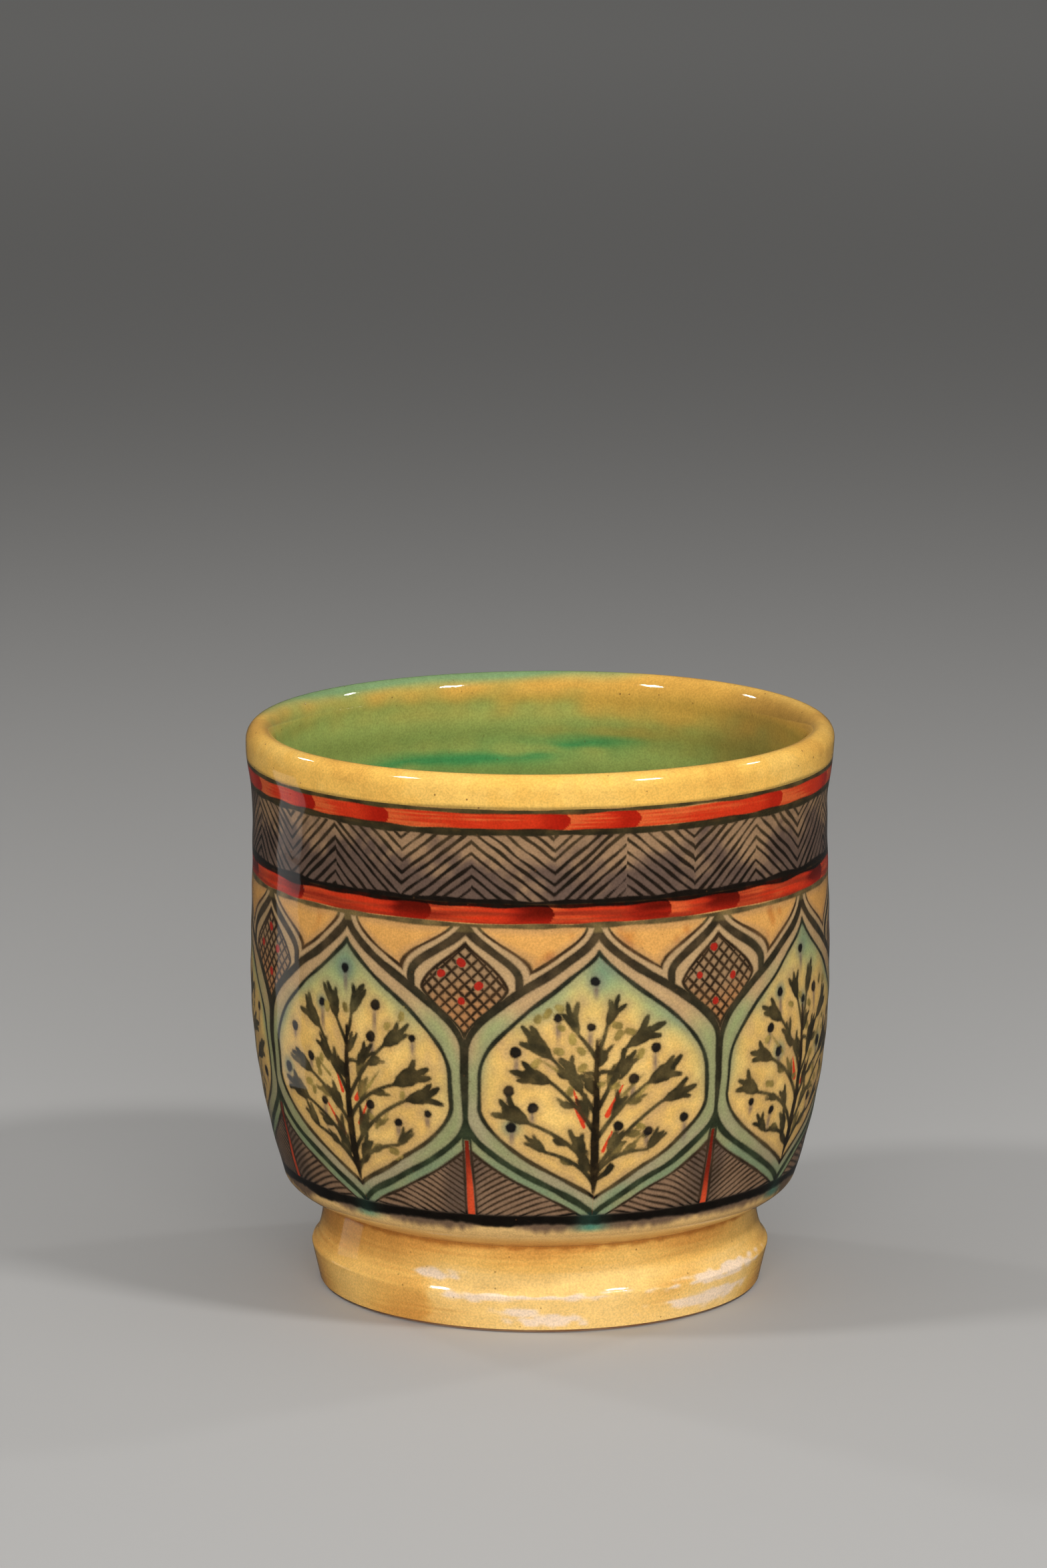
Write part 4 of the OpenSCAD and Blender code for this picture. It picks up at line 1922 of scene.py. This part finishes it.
@dataclass
class PaintedWall(GlazedPart):
    """Painted outside of the bowl: the stripes, the herringbone, the frieze, the base line and the waist.

    Attributes:
        fine: Longest step of the narrow coats' meshes.
        frieze_step: Longest step of the frieze's mesh.
    """

    fine: float = 0.2
    frieze_step: float = 0.375

    def coats(self) -> list[tuple[Coat, PaintedGlaze]]:
        """Plans the coats.

        Returns:
            Coats from the lip down, each with its finish.
        """
        cut = self.section
        fine = (self.fine, 1208, 4)
        coarse = (self.frieze_step, 760, 3)
        plans = (
            ("upper_red_band", "red_stripe", cut.herringbone_top, cut.lip_line, fine),
            ("herringbone_band", "herringbone", cut.lower_red_top, cut.herringbone_top, fine),
            ("lower_red_band", "red_stripe", cut.frieze_top, cut.lower_red_top, fine),
            ("medallion_frieze", "frieze", cut.frieze_low, cut.frieze_top, coarse),
            ("base_line_band", "black_line", cut.base_line_low, cut.frieze_low, fine),
        )
        made = []
        for node, slot, low, high, (step, columns, strips) in plans:
            run = cut.wall_run(low, high, step)
            name = node.replace("_", " ")
            finish = PaintedGlaze(name, edge=0.34 if node == "base_line_band" else 0.16, halo=0.12)
            if node == "medallion_frieze":
                finish = PaintedGlaze(name, Drawing.WITH_LATTICE, edge=0.21, halo=0.34)
            made.append((Coat(node, slot, run, cut.backed(run, 24), columns, strips), finish))
        run = cut.waist_run()
        finish = PaintedGlaze("waist glaze", edge=0.3, halo=0.1, specks=0.4)
        made.append((Coat("waist_glaze", "cream_glaze", run, cut.backed(run, 6), 808, 3), finish))
        return made

    def paint(self, work: Brushwork) -> None:
        """Paints any coat of the wall, so that paint runs on from one to the next.

        Args:
            work: Painting of the coat.
        """
        cut = self.section
        work.tint(Pigment.STRIPE_GROUND, smooth(work.z, cut.frieze_top + 0.1, cut.frieze_top + 0.4))
        frieze = Frieze.between(cut.frieze_low - 0.1, cut.frieze_top)
        frieze.paint(work)
        Herringbone(cut.lower_red_top + 0.7, cut.herringbone_top + 0.2).paint(work)
        RedStripe(cut.herringbone_top + 0.8, cut.lip_line - 0.45, 14, 31).paint(work)
        RedStripe(cut.frieze_top + 0.45, cut.lower_red_top + 0.4, 15, 37, dark=1.0).paint(work)
        RingLine(cut.lip_line - 0.3, 0.38, Pigment.LIP_LINE, 0.16, 41).paint(work)
        RingLine(cut.herringbone_top + 0.45, 0.54, Pigment.OLIVE_LINE, 0.12, 43).paint(work)
        RingLine(cut.lower_red_top + 0.6, 0.6, Pigment.BLACK, 0.18, 45).paint(work)
        RingLine(cut.frieze_top + 0.15, 0.36, Pigment.THIN_LINE, 0.2, 47).paint(work)
        BaseLine(cut.base_line_low, cut.frieze_low, frieze.centres()).paint(work)
        work.ink.tone = work.ink.tone * (1.0 + 0.1 * work.drift(91, 80, 4.0, 12))[:, None]

    def build(self) -> None:
        """Models, paints and dresses every coat."""
        for coat, finish in self.coats():
            self.lay(coat, finish)
            if coat.node == "medallion_frieze":
                self.split_right_halves(coat.piece.data)

    def split_right_halves(self, mesh: Mesh) -> None:
        """Splits each medallion's right half along the branches there, so that thin strokes stay smooth.

        Args:
            mesh: Mesh of the frieze, whose object is the active one.
        """
        frieze = Frieze.between(self.section.frieze_low, self.section.frieze_top)
        middles = np.empty(len(mesh.polygons) * 3, np.float32)
        mesh.polygons.foreach_get("center", middles)
        middles = middles.reshape(-1, 3)
        steps = (np.arctan2(middles[:, 0], -middles[:, 1]) - math.radians(frieze.first)) / frieze.pitch
        choice = bpy.context.tool_settings
        choice.mesh_select_mode = (False, False, True)
        mesh.polygons.foreach_set("select", steps > np.round(steps))
        bpy.ops.object.mode_set(mode="EDIT")
        bpy.ops.mesh.quads_convert_to_tris(quad_method="FIXED_ALTERNATE")
        bpy.ops.object.mode_set(mode="OBJECT")
        choice.mesh_select_mode = (True, False, False)


@dataclass(frozen=True)
class InsideWash:
    """Copper-green glaze of the inside: honey by the lip, then olive, then green, deeper on the left.

    Attributes:
        height: Height of the lip.
        streak_depth: Depth of the emerald run under the lip.
        streak_angle: Angle of its middle, in degrees.
    """

    height: float
    streak_depth: float = 12.4
    streak_angle: float = -168.0

    def at(self, work: Brushwork) -> Array:
        """Colours of the glaze.

        Args:
            work: Painting of the lip or of the inside.

        Returns:
            One colour for each point.
        """
        deep = self.height - work.z
        wall = smooth(work.radius, 20.0, 36.0)
        east, north = work.radius * np.sin(work.theta), work.radius * np.cos(work.theta)
        blot, fine = (
            wall * drift.at(work.theta, work.z) + (1.0 - wall) * drift.at(east / work.radius.max(), north)
            for drift in (Drift(111, 7, 22.0, 14), Drift(113, 40, 5.0, 16))
        )
        upright = smooth(work.radius, 30.0, 38.0)
        streak = upright * work.drift(112, 6, 2.6, 18)
        left = wall * np.cos(work.theta - math.radians(-118.0))
        tone = np.tile(Pigment.INNER_HONEY, (len(work.z), 1))
        tone = blend(tone, Pigment.HONEY_DEEP, 0.6 * (1.0 - smooth(deep, 1.0, 4.0)))
        tone = blend(tone, Pigment.INNER_OLIVE, smooth(deep + blot + 3.5 * left + 0.5 * fine, 2.5, 9.0))
        green = smooth(deep + 1.3 * blot + 5.0 * left + 0.7 * streak + 0.6 * fine, 4.0, 14.5)
        tone = blend(tone, Pigment.INNER_GREEN, green)
        # Painted shade: the right side of the inside turns brown down to the middle depths, where the rim's
        # shadow falls, with the glaze's own blotches in it.
        brown = smooth(-left + 0.2 * blot, 0.1, 1.0) * (1.0 - smooth(deep, 18.0, 38.0))
        tone = blend(tone, Pigment.INNER_BROWN_AND_SHADE, 0.55 * brown)
        turned = work.theta - math.radians(self.streak_angle)
        off = deep - self.streak_depth - 0.5 * blot - 3.0 * np.sin(turned)
        run = 0.55 * np.exp(-(off**2)) + 0.4 * np.exp(-((off / 2.6) ** 2))
        run = run * smooth(np.cos(turned), 0.72, 0.97) * smooth(streak + 0.6 * fine, -2.6, 1.4)
        pool = streak + 0.4 * fine + 0.7 * (1.0 - upright) * blot
        pool = smooth(deep, 18.0, 40.0) * smooth(pool, 0.2, 1.8)
        return blend(tone, Pigment.INNER_EMERALD, 0.8 * run + 0.5 * pool)


@dataclass
class HoneyLip(GlazedPart):
    """Honey-glazed lip, washed with green at the back left."""

    def paint(self, work: Brushwork) -> None:
        """Lays the glaze's colours.

        Args:
            work: Painting of the lip.
        """
        cut = self.section
        blot = work.drift(101, 15, 9.0, 14)
        fine = work.drift(102, 90, 3.0, 14)
        work.wash = np.tile(Pigment.HONEY, (len(work.z), 1))
        work.tint(Pigment.HONEY_PALE, 0.55 * smooth(blot + 0.4 * fine, 0.0, 1.8))
        work.tint(Pigment.HONEY_DEEP, 0.55 * smooth(-blot + 0.3 * fine, 0.2, 2.0))
        crest = cut.lip_radius - cut.crest_inset
        inward = smooth(crest - work.radius, -0.4, 2.4)
        work.wash = blend(work.wash, InsideWash(cut.height).at(work), inward)
        side = np.cos(work.theta - math.radians(-150.0))
        reach = 1.9 + 1.5 * smooth(side, 0.6, 1.0) + 0.3 * blot
        over = smooth(work.radius - crest + reach, 0.0, 2.4)
        over = over * smooth(work.z, cut.height - 2.2, cut.height - 0.4)
        work.tint(Pigment.LIP_GREEN, 0.9 * over * smooth(side + 0.05 * blot, 0.5, 0.84))
        outer = 1.0 - smooth(crest - work.radius, -1.0, 0.0)
        rust = outer * smooth(cut.lip_line - work.z + 0.1 * blot, -0.5, 0.0)
        work.tint(Pigment.LIP_LINE, 0.4 * rust)

    def build(self) -> None:
        """Models, paints and dresses the lip."""
        run = self.section.lip_run()
        coat = Coat("rim_glaze", "honey_glaze", run, self.section.backed(run, 4), 720, 3)
        self.lay(coat, PaintedGlaze("honey lip", specks=0.8))


@dataclass
class GreenInside(GlazedPart):
    """Inside of the bowl: honey and olive by the lip, copper green below, streaked along the rings."""

    def paint(self, work: Brushwork) -> None:
        """Lays the glaze's colours on the painting of the inside."""
        work.wash = InsideWash(self.section.height).at(work)

    def build(self) -> None:
        """Models, paints and dresses the inside."""
        run = self.section.inside_run()
        coat = Coat("inner_glaze", "green_glaze", run, self.section.backed(run, 8), 512, 2)
        self.lay(coat, PaintedGlaze("green inside", specks=0.3))


@dataclass(frozen=True)
class WornPatch:
    """Place where the foot's glaze is worn to pale slip.

    Attributes:
        angle: Angle of its middle, in degrees.
        height: Height of its middle.
        half_angle: Half its length, in degrees.
        half_height: Half its height.
    """

    angle: float
    height: float
    half_angle: float
    half_height: float

    def amount(self, work: Brushwork, ragged: Array) -> Array:
        """How worn each point is.

        Args:
            work: Painting of the foot.
            ragged: Unevenness of the patch's edge.

        Returns:
            Amounts from 0 to 1.
        """
        along = wrapped(work.theta - math.radians(self.angle)) / math.radians(self.half_angle)
        above = (work.z - self.height) / self.half_height
        return 1.0 - smooth(np.hypot(along, above) + 0.35 * ragged, 0.5, 1.2)


@dataclass
class HoneyFoot(GlazedPart):
    """Foot with honey glaze that is worn pale along its ridge and near the table, over bare clay.

    Attributes:
        clay: Finish of the clay nodes.
        patches: Worn places.
    """

    clay: BareClay = BareClay()
    patches: tuple[WornPatch, ...] = (
        WornPatch(-27.0, 8.3, 6.5, 0.8),
        WornPatch(-15.0, 5.6, 10.0, 0.75),
        WornPatch(6.0, 5.7, 15.0, 0.3),
        WornPatch(-6.0, 3.4, 5.5, 0.8),
        WornPatch(2.0, 2.0, 8.5, 0.8),
        WornPatch(45.0, 2.9, 18.0, 1.2),
        WornPatch(50.0, 6.2, 24.0, 0.85),
        WornPatch(118.0, 5.8, 15.0, 0.8),
        WornPatch(-160.0, 3.0, 20.0, 1.0),
        WornPatch(-100.0, 6.0, 9.0, 0.5),
    )

    def paint(self, work: Brushwork) -> None:
        """Lays the glaze's colours.

        Args:
            work: Painting of the foot.
        """
        blot = work.drift(121, 12, 8.0, 14)
        fine = work.drift(122, 80, 1.6, 18)
        streak = work.drift(123, 10, 0.7, 18)
        work.wash = np.tile(Pigment.FOOT_BASE, (len(work.z), 1))
        ragged = 0.6 * fine + 0.5 * blot
        angle = np.degrees(wrapped(work.theta)) + 1.5 * ragged
        # Painted light: the lower front of the foot is made paler where it faces the lamps; the streaks and
        # blotches in the same tint are the glaze's own.
        lit_front = smooth(angle, -31.0, -26.0) * (1.0 - smooth(angle, 50.0, 80.0))
        lit_front = lit_front * (1.0 - smooth(work.z, 8.0, 10.5))
        work.tint(Pigment.FOOT_HONEY, smooth(0.15 * streak - 0.5 * blot + 2.0 * lit_front, -0.2, 2.2))
        # Painted shade: the foot turns brown on its left side and high up under the bowl's turn, where
        # shadow falls, over the glaze's own brown blotches and streaks.
        left = smooth(np.cos(work.theta - math.radians(-72.0)), 0.2, 0.9)
        high = smooth(work.z, 9.5, 13.0)
        brown = 0.7 * blot + 0.25 * streak - lit_front + 1.3 * left + 1.2 * high
        work.tint(Pigment.FOOT_BROWN_AND_SHADE, 0.7 * smooth(brown, 0.0, 2.4))
        # Dark line in the crease where the foot meets the bowl: glaze pooled there, and painted shade of
        # the crease.
        work.tint(Pigment.FOOT_CREASE_POOL_AND_SHADE, 0.75 * smooth(work.z + 0.1 * fine, 12.5, 13.1))
        ragged = ragged + 0.4 * streak
        worn = np.zeros_like(work.z)
        for patch in self.patches:
            worn = np.maximum(worn, patch.amount(work, ragged))
        work.tint(Pigment.FOOT_WHITE, 0.95 * worn)

    def build(self) -> None:
        """Models, paints and dresses the foot, and dresses the clay."""
        run = self.section.foot_run()
        coat = Coat("foot_glaze", "honey_glaze", run, self.section.backed(run, 5), 808, 3)
        self.lay(coat, PaintedGlaze("honey foot", specks=0.6))
        clay = self.clay.build()
        for node in ("clay_bowl", "foot_ring"):
            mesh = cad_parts[node].data
            mesh.materials.clear()
            mesh.materials.append(clay)
            log.info("%s keeps its CAD mesh, as bare clay", node)


@dataclass
class Studio:
    """Plain pale floor, soft lamps and the photo's camera.

    Attributes:
        image_height: Long side of the photo in pixels.
        focal_pixels: Focal length in pixels of the photo.
        eye: Place of the camera in metres.
        pitch: How far the camera looks down, in degrees.
        yaw: How far it is turned to the left, in degrees.
        floor_size: Side of the floor in metres.
        floor_grey: Lightness of the floor.
        backdrop: Lightness that the camera sees far behind the cup.
        world: Strength of the light from all round.
    """

    image_height: float = 2349.0
    focal_pixels: float = 10000.0
    eye: tuple[float, float, float] = (0.0, -1.0014, 0.276)
    pitch: float = 11.22
    yaw: float = 0.143
    floor_size: float = 14.0
    floor_grey: float = 0.42
    backdrop: float = 0.085
    world: float = 0.045

    def build(self) -> None:
        """Makes the floor, the lamps, the world and the camera."""
        self.build_floor()
        self.add_lamp("key lamp", 50.0, 48.0, 0.75, 2.2, (0.1, 0.07))
        self.add_lamp("left lamp", -68.0, 50.0, 0.75, 1.5, (0.085, 0.085))
        card = self.add_lamp("side card", -109.0, -11.0, 0.2, 0.007, (0.06, 0.075))
        card.visible_diffuse = False
        self.add_lamp("left rim lamp", -127.0, 38.0, 0.75, 0.5, (0.05, 0.05))
        self.add_lamp("right rim lamp", 118.0, 44.0, 0.75, 0.5, (0.05, 0.05))
        for fill in (
            self.add_lamp("front fill", 2.0, 14.0, 1.1, 9.1, (0.8, 0.6)),
            self.add_lamp("top fill", 0.0, 86.0, 1.0, 3.3, (1.0, 1.0)),
        ):
            fill.visible_glossy = False
        world = bpy.data.worlds.new("studio")
        world.use_nodes = True
        background = world.node_tree.nodes["Background"]
        background.inputs["Color"].default_value = (1.0, 0.98, 0.95, 1.0)
        background.inputs["Strength"].default_value = self.world
        bpy.context.scene.world = world
        self.add_camera()
        bpy.context.scene.view_settings.view_transform = "Standard"

    def build_floor(self) -> None:
        """Lays a floor that fills the view."""
        bpy.ops.object.select_all(action="DESELECT")
        bpy.ops.mesh.primitive_plane_add(size=self.floor_size)
        floor = bpy.context.object
        floor.name = "studio_floor"
        material, board, shader = new_material("pale floor")
        grey = self.floor_grey
        shader["Base Color"].default_value = (grey, 0.98 * grey, 0.95 * grey, 1.0)
        shader["Roughness"].default_value = 0.7
        away = board.add("ShaderNodeVectorMath", operation="LENGTH")
        board.feed(away.inputs[0], board.place())
        far = board.ramp(away.outputs["Value"], 0.3, 2.4, 0.0, self.backdrop)
        seen = board.add("ShaderNodeLightPath").outputs["Is Camera Ray"]
        shader["Emission Color"].default_value = (1.0, 0.99, 0.96, 1.0)
        board.feed(shader["Emission Strength"], board.math("MULTIPLY", far, seen))
        floor.data.materials.append(material)
        floor.visible_glossy = False

    @staticmethod
    def add_lamp(
        name: str,
        azimuth: float,
        elevation: float,
        distance: float,
        power: float,
        size: tuple[float, float],
    ) -> Object:
        """Hangs a soft lamp that looks at the cup.

        Args:
            name: Name of the lamp.
            azimuth: Angle round the cup from its front, in degrees.
            elevation: Angle above the floor, in degrees.
            distance: Distance from the cup's middle in metres.
            power: Power in watts.
            size: Width and height in metres.

        Returns:
            The lamp.
        """
        turn, rise = math.radians(azimuth), math.radians(elevation)
        away = Vector((math.cos(rise) * math.sin(turn), -math.cos(rise) * math.cos(turn), math.sin(rise)))
        bpy.ops.object.light_add(type="AREA", location=Vector(LAMP_AIM) + distance * away)
        lamp = bpy.context.object
        lamp.name = name
        lamp.rotation_euler = away.to_track_quat("Z", "Y").to_euler()
        lamp.data.shape = "RECTANGLE"
        lamp.data.size, lamp.data.size_y = size
        lamp.data.energy = power
        lamp.visible_camera = False
        return lamp

    def add_camera(self) -> None:
        """Sets the camera where the photo was taken from."""
        turn = (math.radians(90.0 - self.pitch), 0.0, math.radians(self.yaw))
        bpy.ops.object.camera_add(location=self.eye, rotation=turn)
        camera = bpy.context.object
        camera.data.sensor_width = 36.0
        camera.data.lens = self.focal_pixels * camera.data.sensor_width / self.image_height
        bpy.context.scene.camera = camera


def main() -> None:
    """Builds the studio and every coat."""
    logging.basicConfig(level=logging.INFO, format="%(name)s: %(message)s")
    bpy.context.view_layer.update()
    section = HalfSection.from_frame()
    hand = ThrownUnevenness()
    GlazedBrushwork().build()
    LatticeDrawing().build()
    for part in (PaintedWall, HoneyLip, GreenInside, HoneyFoot):
        part(section, hand).build()
    Studio().build()


if __name__ == "__main__":
    main()
